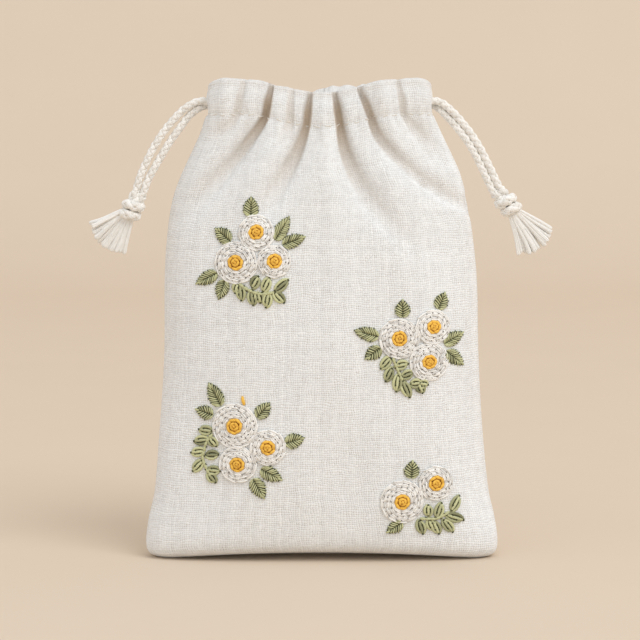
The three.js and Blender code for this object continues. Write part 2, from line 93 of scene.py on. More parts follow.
def unit(vectors):
    """Each vector divided by its own length."""
    return vectors / np.maximum(np.linalg.norm(vectors, axis=-1, keepdims=True), 1e-9)


def run_along(line):
    """Distance from the start of a line to each of its points."""
    return np.concatenate([[0], np.linalg.norm(np.diff(line, axis=0), axis=1).cumsum()])


def evenly(line, count):
    """The line again, with this many points evenly spaced along it."""
    run = run_along(line)
    at = np.linspace(0, run[-1], count)
    return np.stack([np.interp(at, run, line[:, axis]) for axis in range(3)], 1)


def cubic(knots, values, slopes, at):
    """A smooth curve through values at knots: cubic pieces that have these slopes at the knots."""
    i = np.clip(np.searchsorted(knots, at) - 1, 0, len(knots) - 2)
    span = knots[i + 1] - knots[i]
    t = np.clip((at - knots[i]) / span, 0, 1)
    u = 1 - t
    ends = values[i] * u * u * (1 + 2 * t) + values[i + 1] * t * t * (3 - 2 * t)
    return ends + span * t * u * (slopes[i] * u - slopes[i + 1] * t)


def smooth_line(places, step):
    """A smooth line through places, with points a step apart. Its parameter grows with the square root
    of the distance, and its slopes come from the neighbours."""
    places = np.asarray(places, float)
    knots = np.concatenate([[0], np.sqrt(np.linalg.norm(np.diff(places, axis=0), axis=1)).cumsum()])
    slopes = np.gradient(places, knots, axis=0)
    at = np.linspace(0, knots[-1], FINE_POINTS * len(places))
    fine = np.stack([cubic(knots, places[:, axis], slopes[:, axis], at) for axis in range(3)], 1)
    return evenly(fine, max(2, round(run_along(fine)[-1] / step) + 1))


print("half way of a smooth step:", smooth(0.5))

# %% [markdown]
# ## Turning arrays into pieces
# Every piece is a surface worked out with numpy and handed to Blender in one go. One helper joins
# patches of points and faces into a mesh, with a UV map that follows the thread and a number per
# point, called tint, that lets single threads differ and paints shade into dark grounds, needle
# holes and deep gathers. Another carries an oval profile along many paths at once, which is what
# cords, stitches and frayed threads all are.


# %% Helpers for meshes
def make_piece(name, patches, material, nodes=()):
    """One mesh from patches of (points, [(corners, corner uvs), ...], tint of each point). It gets the
    material given and replaces solid nodes."""
    corners, uvs, start = [], [], 0
    for patch_points, faces, _ in patches:
        for numbers, uv in faces:
            corners.extend((numbers + start).tolist())
            uvs.append(uv.reshape(-1, 2))
        start += len(patch_points)
    mesh = bpy.data.meshes.new(name)
    mesh.from_pydata((np.concatenate([patch[0] for patch in patches]) * MM).tolist(), [], corners)
    layer = mesh.uv_layers.new(name="thread")
    layer.data.foreach_set("uv", np.concatenate(uvs).astype(np.float32).ravel())
    tint = mesh.attributes.new("tint", "FLOAT", "POINT")
    tint.data.foreach_set("value", np.concatenate([patch[2] for patch in patches]).astype(np.float32))
    mesh.shade_smooth()
    mesh.materials.append(material)
    piece = bpy.data.objects.new(name, mesh)
    scene.collection.objects.link(piece)
    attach(piece, "root")
    if nodes:
        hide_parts(*nodes)
    print(name, "faces:", len(corners))
    return piece


def tubes(paths, ups, half_wide, half_thick, sides, tint):
    """Oval tubes round K paths of N points: p + wide cos(a) (t x n) + thick sin(a) n, where t runs
    along the path and n is the up direction made square to it. Both ends are closed."""
    count, steps = paths.shape[:2]
    along = unit(np.gradient(paths, axis=1))
    up = unit(ups - (ups * along).sum(-1, keepdims=True) * along)
    across = np.cross(along, up)
    angle = 2 * np.pi * np.arange(sides) / sides
    wide = np.broadcast_to(half_wide, (count, steps))[..., None, None] * np.cos(angle)[:, None]
    thick = np.broadcast_to(half_thick, (count, steps))[..., None, None] * np.sin(angle)[:, None]
    points = paths[:, :, None] + wide * across[:, :, None] + thick * up[:, :, None]
    number = np.arange(count * steps * sides).reshape(count, steps, sides)
    turned = np.roll(number, -1, axis=2)
    quads = np.stack([number[:, :-1], number[:, 1:], turned[:, 1:], turned[:, :-1]], -1)
    run = np.linalg.norm(np.diff(paths, axis=1, prepend=paths[:, :1]), axis=-1).cumsum(1)
    uv = np.stack(np.broadcast_arrays(np.arange(sides + 1) / sides, run[..., None]), -1)
    quad_uv = np.stack([uv[:, :-1, :-1], uv[:, 1:, :-1], uv[:, 1:, 1:], uv[:, :-1, 1:]], 3)
    ends = np.concatenate([number[:, 0], number[:, -1, ::-1]])
    faces = [(quads.reshape(-1, 4), quad_uv), (ends, np.zeros((len(ends), sides, 2)))]
    tints = np.broadcast_to(np.asarray(tint, float).reshape(-1, 1, 1), number.shape)
    return points.reshape(-1, 3), faces, tints.ravel()


def grid(points, uv, tint, closed=False):
    """A patch of quads over R rows of C points; when closed, the last column meets the first."""
    rows, columns = points.shape[:2]
    number = np.arange(rows * columns).reshape(rows, columns)
    if closed:
        number = np.concatenate([number, number[:, :1]], axis=1)
    quads = np.stack([number[:-1, :-1], number[:-1, 1:], number[1:, 1:], number[1:, :-1]], -1)
    quad_uv = np.stack([uv[:-1, :-1], uv[:-1, 1:], uv[1:, 1:], uv[1:, :-1]], 2)
    tints = np.broadcast_to(tint, (rows, columns)).ravel()
    return points.reshape(-1, 3), [(quads.reshape(-1, 4), quad_uv)], tints


print("mesh helpers ready")

# %% [markdown]
# ## Helpers for materials
# Cloth, cord and embroidery are all spun thread, so two effects are shared: a plain weave for the
# linen, and the twist of the plies for every single thread. Each is a node group, built once from
# the formula in its description. Short functions add nodes and fill their sockets with values or links,
# so that the formulas stay readable.


# %% Helpers for materials
def node_tools(tree):
    """Functions that add to a node tree: any node, a Math node, a noise and a mix of two colours."""

    def add(kind, inputs, **settings):
        node = tree.nodes.new(kind)
        for key, value in settings.items():
            setattr(node, key, value)
        for key, value in inputs.items():
            if isinstance(value, bpy.types.NodeSocket):
                tree.links.new(value, node.inputs[key])
            else:
                node.inputs[key].default_value = value
        return node.outputs

    def calc(operation, *values):
        return add("ShaderNodeMath", dict(enumerate(values)), operation=operation)[0]

    def noise(place, scale, detail):
        return add("ShaderNodeTexNoise", {"Vector": place, "Scale": scale, "Detail": detail})

    def mix(factor, first, second):
        inputs = {"Factor": factor, "A": first, "B": second}
        return add("ShaderNodeMix", inputs, data_type="RGBA")["Result"]

    return add, calc, noise, mix


def new_material(name, roughness, specular, sheen=0.0, sheen_roughness=0.5):
    """A material, its node tree and the inputs of its shader."""
    material = bpy.data.materials.new(name)
    material.use_nodes = True
    shader = material.node_tree.nodes["Principled BSDF"].inputs
    shader["Roughness"].default_value = roughness
    shader["Specular IOR Level"].default_value = specular
    shader["Sheen Weight"].default_value = sheen
    shader["Sheen Roughness"].default_value = sheen_roughness
    return material, material.node_tree, shader


def new_group(name, numbers, outputs):
    """A node group with a vector input called Place, further numbers as inputs, and numbers as outputs."""
    tree = bpy.data.node_groups.new(name, "ShaderNodeTree")
    tree.interface.new_socket(name="Place", in_out="INPUT", socket_type="NodeSocketVector")
    for way, titles in (("INPUT", numbers), ("OUTPUT", outputs)):
        for title in titles:
            tree.interface.new_socket(name=title, in_out=way, socket_type="NodeSocketFloat")
    return tree, tree.nodes.new("NodeGroupInput").outputs, tree.nodes.new("NodeGroupOutput").inputs


print("material helpers ready")


# %% Weave and twist
def plain_weave():
    """Over-and-under weave on a UV map in millimetres. With a and b the thread counts across and
    along, a warp thread is round across itself and bows up by cos(pi b) where it passes over; the
    weft is the same the other way round, and the higher one shows."""
    tree, given, result = new_group("plain_weave", ["Pitch"], ["Height", "Shade", "Gap", "Fleck"])
    add, calc, noise, _ = node_tools(tree)
    wander = noise(given["Place"], scale=0.16, detail=2.0)["Color"]
    drift = add("ShaderNodeVectorMath", {0: wander, 1: (0.5, 0.5, 0.5)}, operation="SUBTRACT")[0]
    shift = {0: drift, 1: (2.2, 2.2, 0), 2: given["Place"]}
    moved = add("ShaderNodeVectorMath", shift, operation="MULTIPLY_ADD")[0]
    pitch = add("ShaderNodeCombineXYZ", {0: given["Pitch"], 1: given["Pitch"], 2: 1.0})[0]
    counts = add("ShaderNodeVectorMath", {0: moved, 1: pitch}, operation="DIVIDE")[0]
    count = add("ShaderNodeSeparateXYZ", {0: counts})
    number = [calc("FLOOR", count[axis]) for axis in (0, 1)]
    off = [calc("SUBTRACT", calc("FRACT", count[axis]), 0.5) for axis in (0, 1)]
    parity = calc("FLOORED_MODULO", calc("ADD", *number), 2.0)
    over = calc("MULTIPLY_ADD", parity, -2.0, 1.0)
    height, tone = [], []
    for axis, bowing, contrast in ((0, 0.42, 0.85), (1, -0.42, 0.45)):
        along = add("ShaderNodeCombineXYZ", {0: number[axis], 1: count[1 - axis], 2: 7.0 * axis})[0]
        slub = noise(along, scale=1.0, detail=0.0)[0]
        flat = calc("MULTIPLY", off[axis], calc("MULTIPLY_ADD", slub, -1.1, 2.55))
        bulge = calc("SQRT", calc("MAXIMUM", calc("SUBTRACT", 1.0, calc("MULTIPLY", flat, flat)), 0.0))
        bow = calc("MULTIPLY", calc("COSINE", calc("MULTIPLY", off[1 - axis], math.pi)), over)
        height.append(calc("MULTIPLY", bulge, calc("MULTIPLY_ADD", bow, bowing, 0.58)))
        own = add("ShaderNodeTexWhiteNoise", {"W": number[axis]}, noise_dimensions="1D")[0]
        own_tone = calc("MULTIPLY_ADD", own, contrast, -0.05 - 0.5 * contrast)
        tone.append(calc("MULTIPLY_ADD", slub, 1.1, own_tone))
    top = calc("MAXIMUM", *height)
    shown = {"Factor": calc("GREATER_THAN", *height), "A": tone[1], "B": tone[0]}
    low = {"Value": top, "From Min": 0.22, "From Max": 0.66, "To Min": 1.0, "To Max": 0.0}
    cell = add("ShaderNodeCombineXYZ", {0: number[0], 1: number[1]})[0]
    chance = add("ShaderNodeTexWhiteNoise", {"Vector": cell}, noise_dimensions="2D")[0]
    tree.links.new(top, result["Height"])
    tree.links.new(add("ShaderNodeMix", shown, data_type="FLOAT")[0], result["Shade"])
    tree.links.new(add("ShaderNodeMapRange", low)[0], result["Gap"])
    tree.links.new(calc("GREATER_THAN", chance, 0.955), result["Fleck"])
    return tree


def ply_twist():
    """Plies of a twisted thread on a UV map that runs once round the thread and in millimetres along
    it: a ridge wherever plies (around + along / lay) is near a whole number."""
    tree, given, result = new_group("ply_twist", ["Plies", "Lay"], ["Height", "Shade"])
    add, calc, noise, _ = node_tools(tree)
    place = add("ShaderNodeSeparateXYZ", {0: given["Place"]})
    turns = calc("ADD", place[0], calc("DIVIDE", place[1], given["Lay"]))
    wave = calc("COSINE", calc("MULTIPLY", calc("MULTIPLY", turns, given["Plies"]), math.pi))
    ridge = calc("ABSOLUTE", wave)
    fibres = noise(given["Place"], scale=3.0, detail=3.0)[0]
    tree.links.new(calc("MULTIPLY_ADD", fibres, 0.35, ridge), result["Height"])
    tree.links.new(calc("MULTIPLY_ADD", ridge, 0.5, calc("MULTIPLY", fibres, 0.5)), result["Shade"])
    return tree


WEAVE, PLIES = plain_weave(), ply_twist()
print("node groups:", WEAVE.name, PLIES.name)

# %% [markdown]
# ## Linen
# Undyed linen is a pale warm grey. Its threads are uneven: slubs make some thicker and lighter, and
# in places the gaps between them get fine dark points of painted shade. The weave group gives height,
# a tone for each thread and gaps on a UV map that measures the flat cloth, so the threads bend with
# every fold.

# %% Linen
THREAD_PITCH = 0.85
LINEN_TONES = ((0.79, 0.8, 0.805, 1), (0.985, 1.0, 1.0, 1))
PINHOLE_SHADE = (0.42, 0.38, 0.33, 1)
# painted shade: a brown that is mixed into the linen deep in the gathers and on the lining
PAINTED_FOLD_SHADE, PAINTED_FOLD_SHADE_SHARE = (0.43, 0.3, 0.165, 1), 0.72
LINEN_FINISH = {"roughness": 0.9, "specular": 0.25, "sheen": 0.12, "sheen_roughness": 0.6}


def linen_material():
    """Linen: the weave sets bump and colour, a slow noise adds patches of tone, painted shade darkens some
    gaps of the weave, and the mesh tint mixes in brown painted shade in deep gathers and on the lining."""
    material, tree, shader = new_material("linen", **LINEN_FINISH)
    add, calc, noise, mix = node_tools(tree)
    cloth = add("ShaderNodeUVMap", {}, uv_map="thread")[0]
    weave = add("ShaderNodeGroup", {"Place": cloth, "Pitch": THREAD_PITCH}, node_tree=WEAVE)
    patches = noise(cloth, scale=0.045, detail=3.0)[0]
    tone = calc("MULTIPLY_ADD", patches, 0.3, calc("MULTIPLY", weave["Shade"], 0.7))
    sparse = {"Value": noise(cloth, scale=0.35, detail=2.0)[0], "From Min": 0.42, "From Max": 0.7}
    open_weave = add("ShaderNodeMapRange", {**sparse, "To Min": 0.1, "To Max": 0.85})[0]
    # painted shade: dark points in the gaps of the weave, in open patches and random flecks
    pinhole_shade = calc("MULTIPLY", weave["Gap"], calc("MAXIMUM", open_weave, weave["Fleck"]))
    woven = mix(pinhole_shade, mix(tone, *LINEN_TONES), PINHOLE_SHADE)
    # painted shade: the mesh tint says how much brown shade to mix in
    painted_shade = add("ShaderNodeAttribute", {}, attribute_name="tint")["Fac"]
    colour = mix(calc("MULTIPLY", painted_shade, PAINTED_FOLD_SHADE_SHARE), woven, PAINTED_FOLD_SHADE)
    bump = add("ShaderNodeBump", {"Height": weave["Height"], "Strength": 0.9, "Distance": 0.25 * MM})
    tree.links.new(colour, shader["Base Color"])
    tree.links.new(bump[0], shader["Normal"])
    return material


LINEN = linen_material()
print("linen threads every", THREAD_PITCH, "mm")

# %% [markdown]
# ## Thread
# Cord, fringe and embroidery cotton differ in colour, in how many plies they have and in how tightly
# these are twisted. One function makes them all: the twist group sets the bump and paints shade
# between the plies, and the tint that each mesh carries chooses between a shadowed and a light
# colour, so a thread can differ from its neighbour and dark grounds and needle holes paint shade.

# %% Thread
# Shaded colour (painted shade), light colour, number of plies, length of one twist, depth of the plies,
# sheen
THREADS = {
    "cord_cotton": ((0.56, 0.51, 0.43), (0.96, 0.94, 0.9), 3.0, 2.2, 0.12, 0.1),
    "fringe_cotton": ((0.72, 0.68, 0.61), (0.98, 0.965, 0.93), 2.0, 1.2, 0.04, 0.1),
    "sewing_thread": ((0.56, 0.51, 0.43), (0.96, 0.94, 0.9), 2.0, 1.0, 0.05, 0.05),
    "white_thread": ((0.12, 0.1, 0.085), (1.0, 0.985, 0.95), 4.0, 3.0, 0.1, 0.1),
    "yellow_thread": ((0.4, 0.14, 0.01), (1.0, 0.6, 0.095), 4.0, 3.0, 0.1, 0.05),
    "green_thread": ((0.06, 0.065, 0.03), (0.63, 0.64, 0.37), 4.0, 3.0, 0.08, 0.05),
}


def thread_material(name, dark, light, plies, lay, depth, sheen):
    """Spun thread: tint and twist mix a shaded and a light colour, painting shade between the plies and
    where the tint is low; the twist sets the bump.
    """
    material, tree, shader = new_material(name, roughness=0.75, specular=0.3, sheen=sheen)
    add, calc, _, mix = node_tools(tree)
    place = add("ShaderNodeUVMap", {}, uv_map="thread")[0]
    twist = add("ShaderNodeGroup", {"Place": place, "Plies": plies, "Lay": lay}, node_tree=PLIES)
    tint = add("ShaderNodeAttribute", {}, attribute_name="tint")["Fac"]
    # painted shade: a low tint and the grooves between plies darken the thread towards its shaded colour
    shaded = calc("MULTIPLY", tint, calc("MULTIPLY_ADD", twist["Shade"], 0.4, 0.72))
    bump = add("ShaderNodeBump", {"Height": twist["Height"], "Strength": 0.6, "Distance": depth * MM})
    tree.links.new(mix(shaded, (*dark, 1), (*light, 1)), shader["Base Color"])
    tree.links.new(bump[0], shader["Normal"])
    return material


THREAD = {name: thread_material(name, *values) for name, values in THREADS.items()}
print("thread finishes:", list(THREAD))

# %% [markdown]
# ## The form of the cloth
# The pouch is a tube of linen that is wide and flat-bottomed below and drawn together at the casing.
# A cloth simulation would give some gathers, but not these; a formula puts each one where it is
# seen. Level sections come from a short table and are rounded rectangles, |x/w|^n + |y/d|^n = 1.
# Gathers are valleys that start at the casing and fade out downwards.

# %% Sections and gathers
STITCH_Z = 167.2  # height of the stitches that close the casing
TOP_Z = 180.6  # crest of the casing near its ends
DEEPEST = 5.8  # the deepest that a fold gets
BOTTOM_ARCH, ARCH_HALF_WIDTH, ARCH_REACH = 2.7, 58, 26  # height, half width and reach upwards
RIM_DIP, DIP_HALF_WIDTH = 4.5, 30
# Height, half width, half depth, squareness and middle of the outside of the cloth
SECTIONS = np.array([
    (0, 62.5, 9, 3.2, 0.3),
    (1.4, 65.3, 13, 3.2, 0.3),
    (5, 66.6, 16, 3.1, 0.3),
    (14, 66, 17.8, 2.7, 0.3),
    (25, 63.6, 19.2, 2.4, 0.2),
    (48, 61.3, 21, 2.2, -0.1),
    (76, 59.7, 22, 2.1, -0.1),
    (104, 58.7, 21.5, 2.1, -0.5),
    (122, 57, 20.6, 2.1, -0.9),
    (135, 55.1, 19.5, 2.1, -0.9),
    (144, 52.6, 18.6, 2.15, -0.6),
    (152, 49.4, 17.6, 2.2, -0.3),
    (161, 45.2, 16.4, 2.7, -0.4),
    (167, 43, 15.6, 3.3, -0.6),
    (173, 42.7, 15.5, 3.4, -0.6),
    (178, 42, 15, 3.4, -0.6),
])
# Place at the casing and at the foot (shares of the half width), bend, height of the foot, depth
FRONT_FOLDS = [
    (-0.7, -0.85, 1, 150, 2.1),
    (-0.455, -0.915, 1, 120, 4.1),
    (-0.245, -0.27, 1, 153, 2.1),
    (-0.1, -0.43, 1, 115, 4),
    (0.166, 0.7, 2, 110, 3.7),
    (0.44, 1.5, 2, 118, 3),
    (0.72, 0.9, 1, 145, 2.2),
]
BACK_FOLDS = [
    (-0.74, -0.84, 1, 136, 2),
    (-0.49, -0.72, 1, 128, 3.4),
    (-0.22, -0.42, 1, 134, 3.2),
    (0.06, 0.12, 1, 122, 3.6),
    (0.35, 0.52, 1, 130, 3.4),
    (0.62, 0.8, 1, 134, 3),
]


def section(column, z):
    """One column of the table at any height. The slope at a row is that of the line between its two
    neighbours."""
    rows, values = SECTIONS[:, 0], SECTIONS[:, column]
    row = np.arange(len(rows))
    before, after = np.maximum(row - 1, 0), np.minimum(row + 1, row[-1])
    return cubic(rows, values, (values[after] - values[before]) / (rows[after] - rows[before]), z)


def plain_depth(xi, z):
    """Half depth of the section at a share xi of its half width: d (1 - |xi|^n)^(1/n)."""
    square = section(3, z)
    return section(2, z) * np.maximum(0, 1 - np.abs(xi) ** square) ** (1 / square)


def lift(x, z, side=-1):
    """The bottom edge arches up between the corners. The rim dips in the middle and at its ends, and
    lies lower at the back, but higher to the right of the middle."""
    arch = BOTTOM_ARCH * np.maximum(0, 1 - (x / ARCH_HALF_WIDTH) ** 2)
    arch = arch * np.maximum(0, 1 - z / ARCH_REACH) ** 2
    hollow = np.cos(np.pi / 2 * np.clip(x / DIP_HALF_WIDTH, -1, 1)) ** 2
    dip = RIM_DIP * hollow * smooth((z - 120) / 45)
    peek = smooth((x + 4) / 7) * smooth((22 - x) / 6) * (2.9 - 0.14 * x)
    behind = smooth((40 - np.abs(x)) / 14) * (0.9 - peek + 0.3 * np.sin(1.1 * x))
    corner = 2 * np.clip((np.abs(x) - 36) / 6, 0, 1) ** 2
    return arch - dip - (np.where(side > 0, behind, 0) + corner) * smooth((z - 168) / 9)


def gathers(xi, side, z):
    """Depth and sideways slide of the gathers, and the share of brown painted shade deep in a slot. Each
    gather is a broad valley, exp(-(off/w)^2), with a slot in it that is steep towards the middle of the
    pouch. The cloth on that side slides over the slot as a lip. Both close up towards the casing. The
    depth d is held below D, so that the cords stay covered: d / (1 + (d / D)^6)^(1/6)."""
    depth_sum = slide_sum = painted_slot_shade = 0
    for facing, folds in ((-1, FRONT_FOLDS), (1, BACK_FOLDS)):
        for neck, foot, bend, foot_z, depth in folds:
            above = (z - foot_z) / (STITCH_Z - foot_z)
            rise = np.clip(above, 0, 1)
            place = neck + (foot - neck) * ((1 - rise) ** bend - 0.38 * np.maximum(0, above - 1))
            outer = np.sign(neck)
            off = (place - xi) * section(1, z) * outer
            grown = depth * smooth(rise) ** 0.85 * (side == facing)
            sharp = np.clip((depth - 1.4) / 2, 0, 1)
            broad = np.exp(-((off / (10 - 5.3 * rise)) ** 2))
            width = np.where(off > 0, 3.8 - 2.6 * rise, 9 - 6.9 * rise)
            width = width * (1 - 0.35 * smooth((z - STITCH_Z - 4) / 9))
            slot = np.exp(-((np.abs(off) / width) ** (2 + 1.5 * rise)))
            lip = np.exp(-(((off - 1.9) / 1.5) ** 2)) * rise**2
            depth_sum = depth_sum + grown * (0.8 * broad + 1.02 * sharp * slot)
            slide_sum = slide_sum + grown * sharp * 0.24 * lip * outer
            # painted shade: strongest deep in a slot near the casing, weaker at the rim
            shaded = smooth((slot - 0.15) / 0.75) * (1 - 0.45 * smooth((z - 172) / 7))
            painted_slot_shade = painted_slot_shade + sharp * shaded * rise**2.5 * (side == facing)
    return depth_sum / (1 + (depth_sum / DEEPEST) ** 6) ** (1 / 6), slide_sum, painted_slot_shade


print("half width at the casing:", round(float(section(1, 170.0)), 1), "mm")

# %% [markdown]
# ## Small folds and seams
# Real cloth is never as even as a formula. Slow waves stand for its unevenness, short puckers for
# the pull of the casing stitches, a groove for the stitch line, a fine valley for each side seam and
# a dimple for the slit where the cords come out. They are all one depth that is taken off the
# plain section along its own normal.

# %% The outside of the cloth
ROUND_X, ROUND_Z = 58.7, 76.0  # half width and height that the length round the cloth is taken at
SLIT_Z = {-1: 169.6, 1: 171.4}
arc_angle = np.linspace(-np.pi / 2, np.pi / 2, 1441)
arc_height = plain_depth(np.sin(arc_angle), ROUND_Z)
arc = run_along(np.stack([ROUND_X * np.sin(arc_angle), arc_height], 1))
HALF_ROUND = arc[-1]  # width of the front panel, and of the back panel
waves = np.random.default_rng(11)
WAVES = [
    (waves.uniform(0.12, 0.3), waves.integers(2, 11), waves.uniform(-0.1, 0.1), waves.uniform(0, 6.28))
    for _ in range(9)
]


def along_cloth(xi, side):
    """Distance round the flat cloth: left to right across the front, then back across the back."""
    run = np.interp(np.arcsin(np.clip(xi, -1, 1)), arc_angle, arc)
    return np.where(side < 0, run, 2 * HALF_ROUND - run)


def small_folds(u, z):
    """Waves, puckers, stitch groove, pillow of the casing, side seams and cord slits, in mm inwards."""
    turn = np.pi * u / HALF_ROUND
    total = sum(size * np.sin(count * turn + slope * z + phase) for size, count, slope, phase in WAVES)
    total = total * smooth(z / 30) * (1 - 0.3 * smooth((z - 150) / 15))
    near = np.exp(-(((z - STITCH_Z) / 5) ** 2)) * (0.6 + 0.4 * np.sin(7 * turn + 2))
    total = total + near * 0.34 * np.sin(47 * turn + 2.4 * np.sin(5 * turn + 1) + 0.06 * z)
    total = total + 0.3 * np.exp(-(((z - STITCH_Z) / 1.1) ** 2))
    total = total - 0.4 * np.sin(np.pi * np.clip((z - STITCH_Z) / (TOP_Z - STITCH_Z), 0, 1))
    total = total + 0.3 * np.sin(23 * turn + 1.7 * np.sin(3 * turn)) * smooth((z - 158) / 10)
    for sign, seam_u in ((-1, 0.0), (1, HALF_ROUND)):
        gap = np.abs((u - seam_u + HALF_ROUND) % (2 * HALF_ROUND) - HALF_ROUND)
        total = total + 0.5 * np.exp(-((gap / 0.9) ** 2)) * smooth((z - 6) / 8)
        total = total + 2.6 * np.exp(-((gap / 4.2) ** 2) - (((z - SLIT_Z[sign]) / 2.6) ** 2))
    return total


def wall(xi, side, z):
    """Points of the outside of the cloth at shares of the half width and at heights."""
    width, depth, power = section(1, z), section(2, z), section(3, z) - 1
    x, y, middle = xi * width, side * plain_depth(xi, z), section(4, z)
    normal_x = np.sign(x) * np.abs(xi) ** power / width
    normal_y = np.sign(side) * np.abs(y / depth) ** power / depth
    size = np.maximum(np.hypot(normal_x, normal_y), 1e-9)
    normal_x, normal_y = normal_x / size, normal_y / size
    sink, slide, _ = gathers(xi, side, z)
    inwards, slide = sink + small_folds(along_cloth(xi, side), z), slide * side
    moved_x = middle + x - inwards * normal_x + slide * normal_y
    moved_y = y - inwards * normal_y - slide * normal_x
    return np.stack(np.broadcast_arrays(moved_x, moved_y, z + lift(middle + x, z, side)), -1)


print("cloth round the pouch:", round(2 * HALF_ROUND), "mm")

# %% [markdown]
# ## The sewn cloth
# The cloth runs up the outside, over the rim, down the lining of the casing to the stitches, and its
# inside follows back down to the bottom seam. As one stack of rings it is a single closed skin with
# real thickness. Cloth does not stretch, so in every ring the columns are the same distance apart
# along the folded line. The UV map holds the flat widths, and the weave runs through the folds.

# %% Rings of the cloth
COLUMNS = 540
PANEL = COLUMNS // 2
CLOTH = 1.0
RIM = 1.9  # radius of the rounding over the cord casing
CREST_ROUND = 0.19  # share of the way over the rim that is round
LINING_DROP = 4  # the lining starts this far below the crest
MOUTH_HALF_WIDTH, MOUTH_HALF_DEPTH = 34.6, 5.2
SEAM_HALF, INNER_SEAM_HALF = 54, 52
column_u = np.arange(COLUMNS) * 2 * HALF_ROUND / COLUMNS
column_side = np.where(np.arange(COLUMNS) <= PANEL, -1, 1)
seam_share = np.where(column_side < 0, column_u, 2 * HALF_ROUND - column_u) / HALF_ROUND * 2 - 1
fine_xi = np.sin(np.linspace(-np.pi / 2, np.pi / 2, 1500))


def level(z):
    """One height for every column."""
    return np.full(COLUMNS, float(z))


def wall_ring(z):
    """The front panel from left to right and the back panel from right to left, evenly along the folds."""
    heights = np.full(len(fine_xi), float(z))
    front, back = (evenly(wall(fine_xi, side, heights), PANEL + 1) for side in (-1, 1))
    return np.concatenate([front[:-1], back[:0:-1]])


def mouth_ring(z):
    """The mouth: a slot with round ends, which follows a third of the gathers."""
    rim_x = wall_ring(TOP_Z - RIM)[:, 0]
    xi = np.clip(rim_x / np.abs(rim_x).max(), -1, 1)
    x = xi * MOUTH_HALF_WIDTH
    past = np.maximum(0, np.abs(x) - (MOUTH_HALF_WIDTH - MOUTH_HALF_DEPTH))
    half = np.sqrt(np.maximum(0, MOUTH_HALF_DEPTH**2 - past**2))
    sink = 0.3 * gathers(xi, column_side, level(z))[0]
    y = column_side * half * (1 - np.clip(sink / MOUTH_HALF_DEPTH, 0, 0.8))
    return np.stack([x, y, z + lift(x, z, column_side)], 1)


def seam_ring(z, half):
    """The bottom fold, where front and back meet on one line. It hangs lower than the edge round it."""
    x = seam_share * half
    return np.stack([x, 0 * x, z + 0.2 * lift(x, z)], 1)


def inside(ring, distance):
    """A ring moved towards the inside, square to its own outline."""
    along = np.roll(ring, -1, axis=0) - np.roll(ring, 1, axis=0)
    return ring + distance * unit(np.stack([-along[:, 1], along[:, 0], 0 * along[:, 0]], 1))


def crest_ring(share):
    """Over the rim: from the outer layer to the lining, round at first and then sloping inwards."""
    outer, inner = wall_ring(TOP_Z - RIM), mouth_ring(TOP_Z - LINING_DROP)
    ring = outer + share * (inner - outer)
    round_left = max(0, (CREST_ROUND - share) / CREST_ROUND)
    rounded = RIM * (1 - np.sqrt(max(0, 1 - round_left**2)))
    slope = LINING_DROP * max(0, (share - CREST_ROUND) / (1 - CREST_ROUND)) ** 1.8
    crest = outer[:, 2] + RIM
    crest = crest - 0.25 * (crest - TOP_Z - lift(ring[:, 0], TOP_Z, column_side))
    sunk = gathers(outer[:, 0] / np.abs(outer[:, 0]).max(), column_side, level(TOP_Z - RIM))[0]
    ring[:, 2] = crest - rounded - slope - 0.28 * sunk * smooth(share / CREST_ROUND)
    return ring


print("columns of the cloth:", COLUMNS)

# %% The sewn cloth
BOTTOM_ROWS = [0, 0.4, 0.9, 1.5, 2.3, 3.3, 4.5]
CREST_ROWS = [0.003, 0.011, 0.026, 0.049, 0.08, 0.12, 0.17, 0.25, 0.36, 0.5, 0.64, 0.78, 0.9]
INNER_ROWS = [161, 157, 152, 146, 138, 128, 116, 100, 80, 60, 40, 24, 12, 5]
LINING_PAINTED_SHADE = 0.22  # painted warm shade over the rim and on the lining and inside, which see little light
outer_rows = np.concatenate([BOTTOM_ROWS, np.linspace(6, 118, 46), np.linspace(120, TOP_Z - RIM, 80)])
hem, lining_foot = inside(wall_ring(STITCH_Z - 2), 2 * CLOTH), mouth_ring(STITCH_Z + 0.3)
fold = seam_ring(0, SEAM_HALF)
rings = [fold, fold * 0.5 + wall_ring(0) * 0.5]
rings += [wall_ring(z) for z in outer_rows]
rings += [crest_ring(share) for share in CREST_ROWS]
rings += [mouth_ring(TOP_Z - down) for down in (LINING_DROP, 7, 11)]
rings += [lining_foot, (lining_foot + hem) / 2, hem]
rings += [inside(wall_ring(z), CLOTH) for z in INNER_ROWS]
rings += [inside(wall_ring(2), 2 * CLOTH), seam_ring(CLOTH, INNER_SEAM_HALF)]
cloth = np.stack(rings)
row_v = np.linalg.norm(np.diff(cloth, axis=0), axis=-1).mean(1)
row_v = np.concatenate([[0], row_v.cumsum()])
cloth_uv = np.stack(np.meshgrid(np.append(column_u, 2 * HALF_ROUND), row_v), -1)
row = np.arange(len(cloth))
past_rim = (row - len(outer_rows) - 1)[:, None]
ring_z = np.append([0, 0], outer_rows)[np.minimum(row, len(outer_rows) + 1)][:, None]
# painted shade: brown deep in the slots of the gathers, and over the rim, on the lining and inside
painted_shade = gathers((cloth[..., 0] - section(4, ring_z)) / section(1, ring_z), column_side, ring_z)[2]
painted_shade = painted_shade * np.clip(1 - past_rim / 5, 0, 1) + LINING_PAINTED_SHADE * np.clip(past_rim / 6 + 0.5, 0, 1)
cloth_patch = grid(cloth, cloth_uv, np.clip(painted_shade, 0, 1), closed=True)
pouch = make_piece("pouch_cloth", [cloth_patch], LINEN, ["pouch_body"])
print("along the cloth:", round(row_v[-1]), "mm")

# %% [markdown]
# The bottom edge is a fold, so the front and back halves of its two rings are the same points twice.
# Merging them closes the skin.

